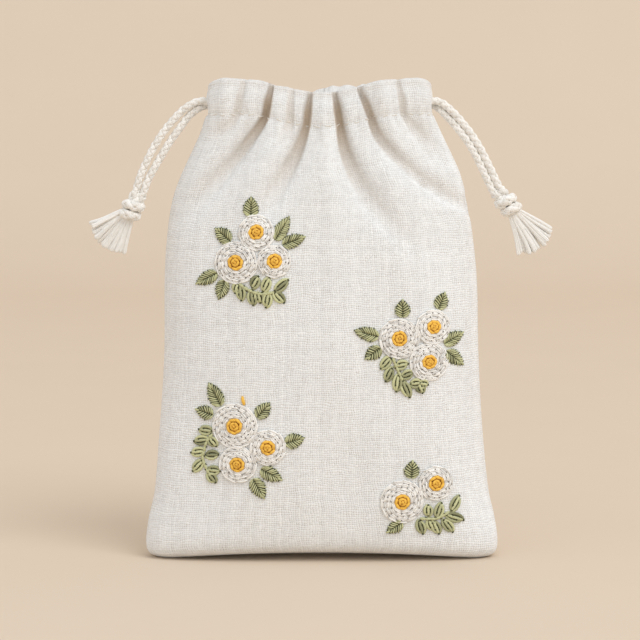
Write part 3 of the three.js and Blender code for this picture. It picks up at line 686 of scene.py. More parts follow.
# %% Closing the fold
shell = bmesh.new()
shell.from_mesh(pouch.data)
shell.verts.ensure_lookup_table()
fold_points = shell.verts[:COLUMNS] + shell.verts[-COLUMNS:]
bmesh.ops.remove_doubles(shell, verts=fold_points, dist=2e-6)
bmesh.ops.recalc_face_normals(shell, faces=shell.faces)
shell.to_mesh(pouch.data)
open_edges = sum(len(edge.link_faces) != 2 for edge in shell.edges)
shell.free()
print("open edges of the cloth:", open_edges)

# %% [markdown]
# ## Drawstrings
# Each drawstring is a braided cotton cord, 3 mm thick, that runs once round the casing and leaves it
# on one side as two strands. The tails repeat the places of the solid model. A curve through those
# places is made evenly spaced, and six yarns are plaited round it: three turn one way and three the
# other, on a radius that swings in and out so that they pass over and under each other.

# %% Routes
CORD = 3.0
LOOP_HALF_WIDTH, LOOP_HALF_DEPTH = 38.7, 7.4
STRAND_GAP = 2.85  # between the middles of the two strands of a tail
# Heights of the cord at its slit and across from it; places of the tail, the knot and the root of the
# tassel; direction and half spread of its fan in degrees, and its length; how far the strands part
DRAWSTRINGS = {
    "left": {
        "sign": -1,
        "exit_z": 169.6,
        "far_z": 168.4,
        "tail": [
            (-44.2, 0, 170.9),
            (-49.2, -0.4, 168.4),
            (-54.2, -0.9, 163),
            (-59, -1.4, 156.4),
            (-63, -1.8, 149.4),
            (-66.3, -2.1, 142.6),
            (-68.9, -2.2, 136.2),
        ],
        "knot": (-70.6, -2.3, 131.8),
        "root": (-71.9, -2.4, 129.9),
        "fan": (228, 35, 15.7),
        "part": 1.2,
    },
    "right": {
        "sign": 1,
        "exit_z": 172,
        "far_z": 173.2,
        "tail": [
            (43.6, 0, 170.6),
            (48, -0.3, 167),
            (52.6, -0.8, 161.8),
            (56.8, -1.3, 156),
            (60.6, -1.7, 149),
            (64, -2.1, 141.8),
            (67.2, -2.2, 136.2),
        ],
        "knot": (69.6, -2.3, 133.6),
        "root": (72.4, -2.4, 130),
        "fan": (307.5, 30, 16.6),
        "part": -0.15,
    },
}


def strand(spec, front):
    """One strand of a tail. At the slit the two lie partly behind each other, and further down side
    by side in the view, where they may part a little."""
    tail = np.array(spec["tail"], float)
    step = np.gradient(tail, axis=0)
    across = unit(np.stack([-step[:, 2], 0 * step[:, 0], step[:, 0]], 1)) * spec["sign"]
    turn = np.pi / 2 * (0.55 + 0.45 * smooth(np.arange(len(tail)) / 2))[:, None]
    aside = np.cos(turn) * np.array([[0, -1, 0]]) + np.sin(turn) * across
    gap = STRAND_GAP + spec["part"] * np.sin(np.pi * np.linspace(0, 1, len(tail)))[:, None] ** 2
    return tail + front * gap / 2 * aside, aside[-1]


def in_casing(spec, x, y):
    """A place inside the casing: the height runs from the exit to the far end and dips with the rim."""
    share = (LOOP_HALF_WIDTH - spec["sign"] * x) / (2 * LOOP_HALF_WIDTH)
    return (x, y, spec["exit_z"] + (spec["far_z"] - spec["exit_z"]) * share + float(lift(x, STITCH_Z)))


for side, spec in DRAWSTRINGS.items():
    print(side, "tail:", [tuple(np.round(place, 1)) for place in strand(spec, 1)[0][::3]])

# %% [markdown]
# ## Knots
# Each tail ends in a knot. One strand winds twice round the other just above the frayed end and is
# tucked under its own turns, so the knot shows two bands that lie almost square to the cord. The
# winding is a helix whose radius swells from the strand's own place to the width of the knot.

# %% Winding a knot
KNOT_LENGTH, KNOT_RADIUS, KNOT_TURNS = 7.4, 2.75, 2.1
KNOT_TOP, KNOT_FOOT = 5.9, -3.9  # where the strands enter and leave, along the knot
WIND_START, WIND_END = 0.1, 0.92  # shares of the strand between which it is wound


def wound_strand(hand):
    """x = r cos(a), y = r sin(a), z = falling evenly; r swells from the half gap to the knot's radius."""
    share = np.linspace(0, 1, 46)
    swell = smooth(share / 0.16) * smooth((1 - share) / 0.1)
    turn = hand * 2 * np.pi * KNOT_TURNS * np.clip((share - 0.07) / 0.86, 0, 1)
    flatter = 0.5 * np.cos(turn) / (2 * np.pi * KNOT_TURNS) * swell
    wound = np.clip((share - WIND_START) / (WIND_END - WIND_START) - flatter, 0, 1)
    half = KNOT_LENGTH / 2
    height = half * (1 - 2 * wound)
    height = np.where(share < WIND_START, KNOT_TOP + (half - KNOT_TOP) * share / WIND_START, height)
    leaving = (share - WIND_END) / (1 - WIND_END)
    height = np.where(share > WIND_END, -half + (KNOT_FOOT + half) * leaving, height)
    radius = STRAND_GAP / 2 + (KNOT_RADIUS * (1 - 0.02 * height**2) - STRAND_GAP / 2) * swell
    return np.stack([radius * np.cos(turn), radius * np.sin(turn), height], 1)


def straight_strand():
    """From its place beside the other strand in to the middle of the turns."""
    height = np.linspace(KNOT_TOP, KNOT_FOOT, 8)
    inwards = smooth((KNOT_TOP - height) / 3)
    return np.stack([-STRAND_GAP / 2 * (1 - inwards), 0 * height, height], 1)


print("knot across:", 2 * KNOT_RADIUS + CORD, "mm")

# %% [markdown]
# ## Plaiting
# The yarns of the braid are tubes on a radius R + a cos(6 pi s / lay) for one direction and
# R - a cos(6 pi s / lay) for the other, at the angle 2 pi (k / 3 + s / lay) or its opposite. Where
# two yarns cross, one is therefore always outside and the other inside.

# %% Plaiting the tails and knots
YARNS = 3  # in each direction
LAY = 8.4  # length in which a yarn goes once round the cord
YARN_STEP = 0.42
YARN_RADIUS, YARN_SWING = 0.9, 0.19
YARN_HALF_WIDTH, YARN_HALF_THICK = 0.78, 0.45
KNOT_CORD = 3.8  # the wound strand is pressed flat and spreads


def cord_frames(line):
    """Two directions square to the line that turn as little as possible along it: at each point the
    earlier direction is made square to the new run of the line."""
    along = unit(np.gradient(line, axis=0))
    first = np.empty_like(along)
    first[0] = unit(np.cross(along[0], [0.0, 1.0, 0.2]))
    for i in range(1, len(line)):
        first[i] = unit(first[i - 1] - along[i] * (first[i - 1] @ along[i]))
    return first, np.cross(along, first)


def braid(line, thickness):
    """Yarns plaited round a line, as wide as the cord's thickness."""
    scale = thickness / CORD
    first, second = cord_frames(line)
    turns = run_along(line) / LAY
    way = np.repeat([1.0, -1.0], YARNS)[:, None]
    angle = 2 * np.pi * (way * turns + np.tile(np.arange(YARNS) / YARNS, 2)[:, None])
    radius = scale * (YARN_RADIUS + way * YARN_SWING * np.cos(2 * np.pi * YARNS * turns))
    outward = np.cos(angle)[..., None] * first + np.sin(angle)[..., None] * second
    tint = 0.88 + 0.14 * np.cos(np.arange(2 * YARNS) * 2.4)
    yarns = line + radius[..., None] * outward
    return tubes(yarns, outward, YARN_HALF_WIDTH * scale, YARN_HALF_THICK * scale, sides=8, tint=tint)


def knot_frame(spec, aside):
    """Directions of a knot: its width lies in the view and its length along the end of the tail."""
    up = unit(np.array(spec["tail"][-1]) - np.array(spec["root"]))
    right = unit(aside - up * (aside @ up))
    return np.stack([right, np.cross(up, right), up])


def cord_piece(name, patches, node, finish="cord_cotton"):
    """A piece of cotton cord that stands for a solid node."""
    return make_piece(name, patches, THREAD[finish], [node])


tails, ends = {}, {}
for side, spec in DRAWSTRINGS.items():
    turned = knot_frame(spec, strand(spec, 1)[1])
    knot_patches = []
    for front, word, local in ((1, "front", wound_strand(spec["sign"])), (-1, "back", straight_strand())):
        turn_in = in_casing(spec, spec["sign"] * (LOOP_HALF_WIDTH - 3.4), -front * LOOP_HALF_DEPTH * 0.6)
        in_knot = spec["knot"] + local @ turned
        line = smooth_line([turn_in, *strand(spec, front)[0][:-1], in_knot[0]], YARN_STEP)
        tail = cord_piece(f"drawstring_{side}_{word}", [braid(line, CORD)], f"drawstring_{side}")
        tails[side, front] = tail, line
        knot_patches.append(braid(smooth_line(in_knot, YARN_STEP), KNOT_CORD))
    ends[side] = [cord_piece(f"knot_{side}_cord", knot_patches, f"knot_{side}")]

# %% [markdown]
# ## Frayed ends
# Below its knot each cord is combed out into a flat fan of fine threads, which hang together in
# locks. Every lock is a curve from the knot, first straight on and then bending to its own direction
# in the fan, with a slight wave. A few dozen faces for each thread are enough, because there are
# hundreds of them.

# %% Tassels
LOCKS, LOCK_THREADS = 19, 12
FAN_ROOT_HALF = 1.4  # half width of the fan at the knot
LOCK_OVERLAP = 1.4  # width of a lock at the rim, as a share of the distance between locks
FRINGE_RADIUS = 0.17
LOCK_END = 0.93  # share of its length past which a lock is rounded off
lock_t = np.concatenate([np.linspace(0, LOCK_END, 8), [0.955, 0.975, 0.99, 0.998]])


def tassel_threads(spec, draw):
    """Locks are curves p0 (1-t)^2 + 2 p1 t (1-t) + p2 t^2 from the knot to the rim of the fan. They
    widen towards it and end round. Threads lie on their surface, at an angle a round the lock."""
    middle, spread, length = spec["fan"]
    share = np.linspace(-1, 1, LOCKS) + draw.normal(0, 0.025, LOCKS)
    angle, lean = np.radians(middle + spread * share), np.radians(draw.normal(0, 4, LOCKS))
    away = np.stack([np.cos(angle) * np.cos(lean), np.sin(lean), np.sin(angle) * np.cos(lean)], 1)
    root = np.array(spec["root"])
    down = unit(root - np.array(spec["tail"][-1]))
    aside = np.cross(away, [0.0, 1.0, 0.0])
    start = root - 2 * down + np.cross(down, [0.0, 1.0, 0.0]) * FAN_ROOT_HALF * share[:, None]
    tip = root + away * (length * (1 - 0.07 * share**2) * draw.normal(1.0, 0.02, LOCKS))[:, None]
    control = (start + tip) / 2 + down * 0.6
    phase = draw.uniform(3, 7, (2, LOCKS))
    rim_half = LOCK_OVERLAP * length * math.radians(spread) / (LOCKS - 1)

    def on_lock(lock, at):
        """Middle of a lock, its half width and its half thickness at shares of its length."""
        at = at[..., None]
        ends_of_line = start[lock, None] * (1 - at) ** 2 + tip[lock, None] * at**2
        line = ends_of_line + 2 * control[lock, None] * at * (1 - at)
        sway = 0.3 * at * np.sin(at * phase[0, lock, None, None] + 2 * phase[1, lock, None, None])
        end = np.sqrt(1 - np.clip((at - LOCK_END) / (1 - LOCK_END), 0, 0.999) ** 2)
        wide, thick = (0.4 + (rim_half - 0.4) * at) * end, (0.85 - 0.25 * at) * end
        return line + sway * aside[lock, None], wide, thick

    every = np.arange(LOCKS)
    line, wide, thick = on_lock(every, np.broadcast_to(lock_t, (LOCKS, len(lock_t))))
    front = np.array([0.0, -1.0, 0.0])
    lock_tint = draw.normal(0.7, 0.05, LOCKS)
    facing = np.broadcast_to(front, line.shape)
    bodies = tubes(line, facing, wide[..., 0], thick[..., 0], sides=8, tint=lock_tint)
    lock = np.repeat(every, LOCK_THREADS)
    around = np.tile(2 * np.pi * np.arange(LOCK_THREADS) / LOCK_THREADS, LOCKS)
    around = (around + draw.normal(0, 0.12, len(lock)))[:, None, None]
    line, wide, thick = on_lock(lock, lock_t * draw.uniform(0.95, 1, (len(lock), 1)))
    paths = line + wide * np.cos(around) * aside[lock, None] + thick * np.sin(around) * front
    tint = np.clip(draw.normal(0.97, 0.07, len(lock)), 0.7, 1.15)
    facing = np.broadcast_to(front, line.shape)
    return [bodies, tubes(paths, facing, FRINGE_RADIUS, FRINGE_RADIUS, sides=4, tint=tint)]


for seed, (side, spec) in enumerate(DRAWSTRINGS.items(), 30):
    threads = tassel_threads(spec, np.random.default_rng(seed))
    ends[side].append(cord_piece(f"tassel_{side}_threads", threads, f"tassel_{side}", "fringe_cotton"))

# %% [markdown]
# ## Inside the casing
# The rest of each drawstring is hidden in the casing. It is there so that the cord is whole when the
# pouch is looked into, but a plain round cord is enough.

# %% Loops and the lengths of the tails
LOOP_SHARES = np.array([1.16, 1, 0.66, 0.33, 0, -0.33, -0.66, -1])  # places along a long side
LOOP_DEPTHS = np.append(0.72, np.ones(7)) * LOOP_HALF_DEPTH
for side, spec in DRAWSTRINGS.items():
    sign, bend = spec["sign"], LOOP_HALF_WIDTH - LOOP_HALF_DEPTH
    one_side = list(zip(LOOP_SHARES * sign * bend, LOOP_DEPTHS))
    turn = np.radians([-45, 0, 45])
    far = zip(-sign * (bend + LOOP_HALF_DEPTH * np.cos(turn)), LOOP_HALF_DEPTH * np.sin(turn))
    places = [in_casing(spec, x, -y) for x, y in one_side] + [in_casing(spec, x, y) for x, y in far]
    places += [in_casing(spec, x, y) for x, y in one_side[::-1]]
    loop_line = smooth_line(places, 1.6)[None]
    loop_up = np.broadcast_to([0.0, 0.0, 1.0], loop_line.shape)
    loop = tubes(loop_line, loop_up, CORD / 2, CORD / 2, sides=10, tint=0.9)
    cord_piece(f"drawstring_{side}_loop", [loop], f"drawstring_{side}")
    for front in (1, -1):
        tail, line = tails[side, front]
        length = run_along(line)[-1] * MM
        tuple(np.array(spec["tail"][0]) * MM)
        [tuple(point) for point in line * MM]
        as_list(ends[side] if front > 0 else [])
        print(tail.name, "length:", round(length / MM, 1), "mm")

# %% [markdown]
# ## Thread on the cloth
# Embroidery lies on the front and follows its curve. Each stitch is a short thread between two
# needle holes: low at both ends, bowed up between them. The functions below find the cloth under a
# place on the front and lay any number of stitches over it at once.

# %% Stitches on the front
STITCH_POINTS = np.linspace(0, 1, 6)
NORMAL_STEP = 0.2  # half the distance across which the slope of the cloth is measured


def on_front(x, z):
    """Point of the front cloth at x and z, and its outward normal from small differences."""

    def place(px, pz):
        xi = (px - section(4, pz)) / section(1, pz)
        sink = gathers(xi, -1, pz)[0] + small_folds(along_cloth(xi, np.full(np.shape(xi), -1)), pz)
        return np.stack(np.broadcast_arrays(px, -plain_depth(xi, pz) + sink, pz), -1)

    tangent_x = place(x + NORMAL_STEP, z) - place(x - NORMAL_STEP, z)
    tangent_z = place(x, z + NORMAL_STEP) - place(x, z - NORMAL_STEP)
    return place(x, z), unit(np.cross(tangent_x, tangent_z))


def stitches(flat, height, half_wide, half_thick, tint):
    """Threads along K paths of (x, z) on the front, at heights above the cloth and thin at the ends."""
    count, steps = flat.shape[:2]
    point, normal = on_front(flat[..., 0], flat[..., 1])
    taper = 0.45 + 0.55 * np.sin(np.pi * (0.05 + 0.9 * np.linspace(0, 1, steps))) ** 0.6
    wide, thick, tint = (np.broadcast_to(value, count)[:, None] for value in (half_wide, half_thick, tint))
    height = np.broadcast_to(height, (count, steps))[..., None]
    return tubes(point + normal * height, normal, wide * taper, thick * taper, sides=6, tint=tint)


def padding(flat, height, tint):
    """Ground under a motif: a sheet over a grid of (x, z) places at heights above the cloth; a dark one
    paints the shade between stitches.
    """
    point, normal = on_front(flat[..., 0], flat[..., 1])
    height = np.broadcast_to(height, flat.shape[:2])[..., None]
    return grid(point + normal * height, np.zeros(flat.shape), tint)


def round_place(centre, out, angle):
    """Places (x, z) at distances and angles from a centre."""
    return np.stack([centre[0] + out * np.cos(angle), centre[1] + out * np.sin(angle)], -1)


def from_foot(x, z, degrees, along, across):
    """Places (x, z) at distances along and across a direction that starts at a foot."""
    turn = np.radians(degrees)
    px = x + along * np.cos(turn) - across * np.sin(turn)
    pz = z + along * np.sin(turn) + across * np.cos(turn)
    return np.stack(np.broadcast_arrays(px, pz), -1)


def embroidery(name, patches, colour, nodes=()):
    """A piece in embroidery thread of the given colour."""
    return make_piece(name, patches, THREAD[colour], nodes)


print("front at the middle:", np.round(on_front(np.array(0.0), np.array(90.0))[0], 1))

# %% [markdown]
# ## Flowers
# A flower is worked in rounds of short stitches, end to end, from its yellow middle outwards. The
# rounds stand on a low dome and touch each other. A stitch is lowest at its ends, where the needle
# went through, and short dark threads there paint the shade of the needle holes.

# %% Rounds of stitches
# Centre on the front, radius of the petals, radius of the yellow middle
FLOWERS = {
    "upper_left": [(-23.7, 124, 6.8, 2.8), (-31.2, 112.9, 8.0, 3.0), (-17.2, 113.6, 6.3, 2.8)],
    "middle_right": [(28.8, 84.9, 7.7, 3.0), (41.3, 88.9, 6.6, 2.6), (39.8, 76, 7.3, 2.7)],
    "lower_left": [(-31.9, 52.2, 8.6, 3.2), (-19.7, 44.4, 6.9, 2.9), (-30.9, 37.8, 7.1, 2.9)],
    "lower_right": [(30.1, 23.7, 8.2, 3.1), (42.7, 30.4, 6.6, 3.0)],
}


def round_of_stitches(centre, radii, count, overlap, drift, draw):
    """One round of strands side by side: stitch k runs over the angles 2 pi (k -+ overlap) / count. Its
    end lies further out than its start by the drift, and its middle is flatter than the circle."""
    middle = 2 * np.pi * (np.arange(count) + draw.normal(0, 0.06, count)) / count + draw.uniform(0, 6.28)
    half = overlap * 2 * np.pi / count
    angle = middle[:, None] + half * (2 * STITCH_POINTS - 1)
    flatter = 1 - 0.4 * (1 - math.cos(half)) * np.sin(np.pi * STITCH_POINTS)
    wander = drift * (STITCH_POINTS - 0.5) + draw.normal(0, 0.06, (len(radii), count, 1))
    out = np.array(radii)[:, None, None] * flatter + wander
    return round_place(centre, out, angle).reshape(-1, len(STITCH_POINTS), 2)


def disc(centre, inner, outer, steps):
    """A ring of places round a centre, from the inside out, and their distances from it."""
    angle, rim = np.meshgrid(np.linspace(2 * np.pi, 0, 33), np.linspace(inner, outer, steps))
    return round_place(centre, rim, angle), rim


def needle_hole_shade(centre, radius, height, spacing, draw):
    """Painted shade of needle holes on a circle: very short, flat, dark threads where the needle went
    through.
    """
    count = round(2 * np.pi * radius / spacing)
    angle = 2 * np.pi * (np.arange(count) + draw.normal(0, 0.13, count)) / count + draw.uniform(0, 6.28)
    size = draw.uniform(0.22, 0.33, count)
    angle = angle[:, None] + 0.7 * size[:, None] / radius * np.linspace(-1, 1, 4)
    flat = round_place(centre, radius + draw.normal(0, 0.09, (count, 1)), angle)
    # painted shade: a low tint keeps these threads dark
    return stitches(flat, height, size, 0.4 * size, draw.uniform(0.05, 0.32, count))


print("flowers:", sum(len(flowers) for flowers in FLOWERS.values()))

# %% Flowers
ROUND_PITCH = 1.28
STITCH_RUN, LAST_STITCH_RUN = 2.5, 3.8  # length of a stitch within a flower and in its last round
# Share of the radius, number of stitches and height of the rounds of a yellow middle
MIDDLE_ROUNDS = ((0.8, 7, 0.95), (0.4, 4, 1.15), (0.1, 2, 1.3))


def dome(share):
    """Height of the petals: highest beside the middle and low at the rim."""
    return 1.05 - 0.7 * np.clip(share, 0, 1) ** 1.3


def flower_petals(centre, radius, middle, draw):
    """Pale ground and rounds about 1.3 mm apart, two strands wide, with painted needle-hole shade on the
    lines between them. The last round has longer stitches."""
    rounds = max(3, round((radius - middle) / ROUND_PITCH))
    pitch = (radius - middle) / rounds
    ground, rim = disc(centre, middle - 0.4, radius - 0.3, 5)
    height = np.maximum(dome((rim - middle) / (radius - middle)) - 0.2, 0.02)
    patches = [padding(ground, height, tint=0.75)]
    bow = np.sin(np.pi * STITCH_POINTS) ** 0.5
    for k in range(rounds):
        at = middle + pitch * (k + 0.5)
        last = k == rounds - 1
        count = max(8, round(2 * np.pi * at / (LAST_STITCH_RUN if last else STITCH_RUN)))
        strands = (at - 0.24 * pitch, at + 0.24 * pitch)
        flat = round_of_stitches(centre, strands, count, 0.57, 0.42 if last else 0.34, draw)
        height = dome((k + 0.5) / rounds) - 0.2 + 0.3 * bow + draw.normal(0, 0.05, (2 * count, 1))
        tint = np.clip(draw.normal(0.98, 0.13, 2 * count), 0.6, 1.2)
        patches.append(stitches(flat, height, half_wide=0.3 * pitch, half_thick=0.36, tint=tint))
        if not last:
            hole_shade_height = dome((k + 1) / rounds) + 0.34
            patches.append(needle_hole_shade(centre, at + pitch / 2, hole_shade_height, spacing=2.2, draw=draw))
    return patches


def flower_middle(centre, middle, draw):
    """Two rounds and two middle stitches of yellow thread on an orange ground, with painted needle-hole
    shade.
    """
    ground, rim = disc(centre, 0.02, middle - 0.15, 4)
    patches = [padding(ground, 1.1 - 0.5 * (rim / middle) ** 2, tint=0.0)]
    bow = np.sin(np.pi * STITCH_POINTS) ** 0.7
    for share, count, high in MIDDLE_ROUNDS:
        flat = round_of_stitches(centre, [share * middle], count, 0.6, 0.5 * share, draw)
        tint = np.clip(draw.normal(0.78 + 0.28 * share, 0.1, count), 0.4, 1.15)
        patches.append(stitches(flat, high + 0.38 * bow, half_wide=0.6, half_thick=0.42, tint=tint))
    patches.append(needle_hole_shade(centre, 0.58 * middle, height=1.5, spacing=2.4, draw=draw))
    patches.append(needle_hole_shade(centre, 0.2 * middle, height=1.78, spacing=1.4, draw=draw))
    return patches


done = 0
for group, flowers in FLOWERS.items():
    draw = np.random.default_rng(len(group) * 7)
    white, yellow = [], []
    for x, z, radius, middle in flowers:
        white += flower_petals((x, z), radius, middle, draw)
        yellow += flower_middle((x, z), middle, draw)
    numbers = range(done + 1, done + len(flowers) + 1)
    embroidery(f"petals_{group}", white, "white_thread", [f"petals_{k}" for k in numbers])
    embroidery(f"flower_middles_{group}", yellow, "yellow_thread", [f"centre_{k}" for k in numbers])
    done += len(flowers)

# %% [markdown]
# ## Leaves
# A leaf is filled with slanted stitches that run from its edge in to the vein and back towards its
# foot, one side after the other. The vein shows as a dark line: a dark ground under the leaf paints
# the shade there and between the stitches, and short dark threads paint the shade of needle holes.

# %% Leaves
LEAF_STITCH = 0.86  # distance between the stitches of a leaf
SLANT = 0.24  # share of the leaf's length by which a stitch runs back
# Foot on the front, length, width, direction in degrees from +X
LEAVES = {
    "upper_left": [
        *[(-25.9, 129.8, 7.4, 5.2, 88), (-16.8, 121.4, 10, 4.6, 59), (-14.1, 119.6, 9, 4.6, 20)],
        *[(-33.4, 120.7, 7.4, 5, 140), (-38.4, 108.9, 9, 4.6, -152), (-35.5, 106.2, 7.4, 4.6, -108)],
    ],
    "middle_right": [
        *[(30.1, 92.8, 6.6, 5.2, 91), (43.4, 95.4, 6.6, 4.8, 68), (21.1, 85.6, 9.4, 4.6, 164)],
        *[(21.8, 81.4, 7, 4.8, -145), (45.6, 82.4, 8.4, 4.6, 28), (46.4, 79.6, 8.6, 4.6, -40)],
    ],
    "lower_left": [
        *[(-37.1, 59.6, 9.7, 5.2, 118), (-40.1, 56, 6.9, 4.8, 163), (-23.6, 55.6, 7.4, 4.8, 50)],
        *[(-13.2, 46, 7.4, 5.2, 17), (-22.3, 36.2, 9, 5, -28), (-25.3, 32.4, 8.8, 5.2, -60)],
    ],
    "lower_right": [(33.5, 32.5, 6.8, 5.2, 86), (30.1, 15.7, 6.9, 4.4, -146)],
}


def leaf(x, z, length, width, degrees, draw):
    """The edge is at across = 1.5 width s^0.55 (1 - s)^0.85, which is pointed at the tip; a stitch runs
    from the edge at s to the vein at s less the slant."""

    def edge(share):
        share = np.clip(share, 0, 1)
        return 1.5 * width * share**0.55 * (1 - share) ** 0.85

    def place(along, across):
        return from_foot(x, z, degrees, along * length, across)

    share, across = np.meshgrid(np.linspace(0.02, 0.97, 9), np.linspace(-0.86, 0.86, 5), indexing="ij")
    # painted shade: a near-black ground under the stitches shows in the vein and between them
    patches = [padding(place(share, across * edge(share)), height=0.12, tint=0.05)]
    count = max(8, round(length / LEAF_STITCH))
    t = STITCH_POINTS[None]
    for side in (-1, 1):
        tip = np.linspace(0.1, 1.0, count)[:, None] + draw.normal(0, 0.008, (count, 1))
        along = tip + (np.maximum(tip - SLANT, 0.0) - tip) * t
        ragged = draw.normal(1.0, 0.03, (count, 1))
        out = side * (np.maximum(edge(tip), 0.12) * ragged * (1 - t) + 0.16 * t)
        tint = np.clip(draw.normal(0.9, 0.2, count), 0.4, 1.2)
        height = 0.1 + 0.48 * np.sin(np.pi * t) ** 0.7
        patches.append(stitches(place(along, out), height, half_wide=0.29, half_thick=0.34, tint=tint))
        # painted shade: short dark threads for needle holes at the outer ends of the stitches
        hole_shade = place(along[::2, :3], out[::2, :3])
        size = draw.uniform(0.2, 0.34, len(hole_shade))
        patches.append(stitches(hole_shade, height=0.5, half_wide=size, half_thick=0.5 * size, tint=0))
    return patches


done = 0
for group, leaves in LEAVES.items():
    draw = np.random.default_rng(len(group) * 13)
    patches = [patch for spec in leaves for patch in leaf(*spec, draw)]
    nodes = [f"leaf_{done + k}" for k in range(1, len(leaves) + 1)]
    embroidery(f"leaves_{group}", patches, "green_thread", nodes)
    done += len(leaves)

# %% [markdown]
# ## Sprigs
# Below or beside each group of flowers a thin stem carries small leaflets. The stem is a row of
# overlapping stitches. A leaflet is three stitches side by side that meet at both ends; a dark ground
# under them paints the shade of the lines between them, and short dark threads paint the shade of
# needle holes. One loose stitch in yellow stands above a flower.

# %% Sprigs
# Stem places on the front; leaflets as foot, length and direction
SPRIGS = {
    "upper_left": (
        [(-30.2, 105.1), (-25.9, 102.6), (-22.6, 101.6), (-19.3, 101.7), (-16.7, 102.7)],
        [
            *[(-25.3, 103.9, 5.0, 60), (-21.3, 102.6, 5.9, 65), (-17, 102.7, 6.8, 39)],
            *[(-17, 102, 5.3, -48), (-19.3, 101.7, 5.6, -101), (-25.6, 102.2, 5.2, -82)],
            *[(-23, 102, 4.0, -80), (-29.6, 104.5, 5.9, -87), (-30.5, 105.1, 3.8, -107)],
        ],
    ),
    "middle_right": (
        [(26.4, 77.7), (27.8, 74.4), (29.1, 71.4), (30.1, 69)],
        [
            *[(25.5, 77.8, 5.7, -133), (26.1, 73.8, 5.6, -117), (28.5, 71.1, 6.4, -98)],
            *[(30.1, 69, 7.1, -67), (27.4, 74.7, 5.1, 9), (29.8, 70.7, 4.8, 19)],
            *[(33.1, 68, 4.0, 3), (36.4, 68.2, 3.3, -14), (36.1, 67.9, 3.9, -68)],
        ],
    ),
    "lower_left": (
        [(-40.3, 48.9), (-42.3, 46.3), (-43.5, 42.6), (-44, 39.3), (-42.2, 35), (-40.7, 32.2)],
        [
            *[(-40.6, 50, 5.1, 174), (-42.3, 46.7, 5.3, -172), (-41.4, 47.4, 4.3, -51)],
            *[(-43.5, 42.3, 5.2, -172), (-42.8, 40.9, 5.1, 3), (-44.1, 38.5, 5.7, -134)],
            *[(-42.2, 35.4, 5.1, -6), (-41.8, 34, 4.6, -54)],
        ],
    ),
    "lower_right": (
        [(36.8, 17.1), (39.6, 16.9), (43.1, 17), (46, 18.3), (48.3, 19.8)],
        [
            *[(39.9, 18.1, 4.3, 90), (43.1, 17.3, 6.2, 72), (48.6, 19.8, 6.5, 61)],
            *[(46.9, 18.2, 7.1, -20), (45.7, 16.3, 6.2, -54), (41.9, 15.9, 5.6, -67)],
            *[(40.2, 16.3, 4.5, -66), (36.5, 16.2, 5.6, -74)],
        ],
    ),
}
STEM_SIZE, LEAFLET_SIZE = 0.62, 0.58  # half width of a thread
STEM_STEP = 0.6  # between the points of a stem's stitch
HOLE_ASIDE = 0.6  # from the middle of a stem to the painted shade of its needle holes
# Distance to the side and bow of a leaflet's stitches, and their start as a share of its length
LEAFLET_STITCHES = ((-1.45, 0.4, -0.12), (1.45, 0.4, -0.02), (0, 0.6, -0.06))
# Share of the length, distance to the side and height of the dark threads that paint the shade of a
# leaflet's needle holes
LEAFLET_HOLE_SHADE = ((0.9, 0, 0.6), (-0.04, 0, 0.6), (0.26, 0.55, 0.82), (0.52, -0.55, 0.82), (0.62, 0.9, 0.6))


def stem(places):
    """Overlapping stitches along a smooth line through places, each 2.4 mm long, with the painted shade of
    a needle hole beside each, on one side after the other."""
    line = smooth_line([(x, 0, z) for x, z in places], STEM_STEP)[:, [0, 2]]
    start = np.arange(0, max(1, len(line) - 4), 3)
    flat = line[np.minimum(start[:, None] + np.arange(5), len(line) - 1)]
    ahead = unit(flat[:, 1] - flat[:, 0])
    aside = np.where(np.arange(len(flat)) % 2, HOLE_ASIDE, -HOLE_ASIDE)[:, None]
    beside = aside * np.stack([-ahead[:, 1], ahead[:, 0]], 1)
    bow = 0.3 + 0.3 * np.sin(np.pi * np.linspace(0, 1, 5))
    thread = stitches(flat, bow, STEM_SIZE, 0.75 * STEM_SIZE, 1.5 * STEM_SIZE)
    # painted shade: dark threads beside the stem for its needle holes
    hole_shade = stitches(flat[:, :2] + beside[:, None], 0.66, 0.5 * STEM_SIZE, 0.3 * STEM_SIZE, tint=0)
    return [thread, hole_shade]


def leaflets(specs, draw):
    """Three stitches side by side, across = c sin(pi t)^0.6, on a dark ground that paints the shade between
    them. They meet at both ends, where short dark threads paint the shade of a needle hole."""
    x, z, length, degrees = (np.array(column)[:, None] for column in zip(*specs))

    def place(along, across):
        return from_foot(x, z, degrees, along, across)

    bow = np.sin(np.pi * np.linspace(0, 1, 8))[None]
    patches = []
    for aside, high, start in LEAFLET_STITCHES:
        path = place(length * (np.linspace(0, 1, 8) + start), aside * bow**0.6)
        tint = np.clip(draw.normal(0.82, 0.26, len(length)), 0.3, 1.2)
        patches.append(stitches(path, 0.15 + high * bow**0.8, LEAFLET_SIZE, 0.8 * LEAFLET_SIZE, tint))
    share, across = np.meshgrid(np.linspace(0.08, 0.82, 5), [-1.3, 0, 1.3], indexing="ij")
    ground = place(length * share.ravel(), across.ravel())
    # painted shade: a near-black ground under the leaflets
    patches += [padding(flat.reshape(5, 3, 2), height=0.16, tint=0.03) for flat in ground]
    # painted shade: dark threads for the leaflets' needle holes
    for share, aside, high in LEAFLET_HOLE_SHADE:
        path = place(share * length + 0.5 * np.linspace(0, 1, 4), aside)
        patches.append(stitches(path, high, 0.75 * LEAFLET_SIZE, 0.45 * LEAFLET_SIZE, tint=0))
    return patches


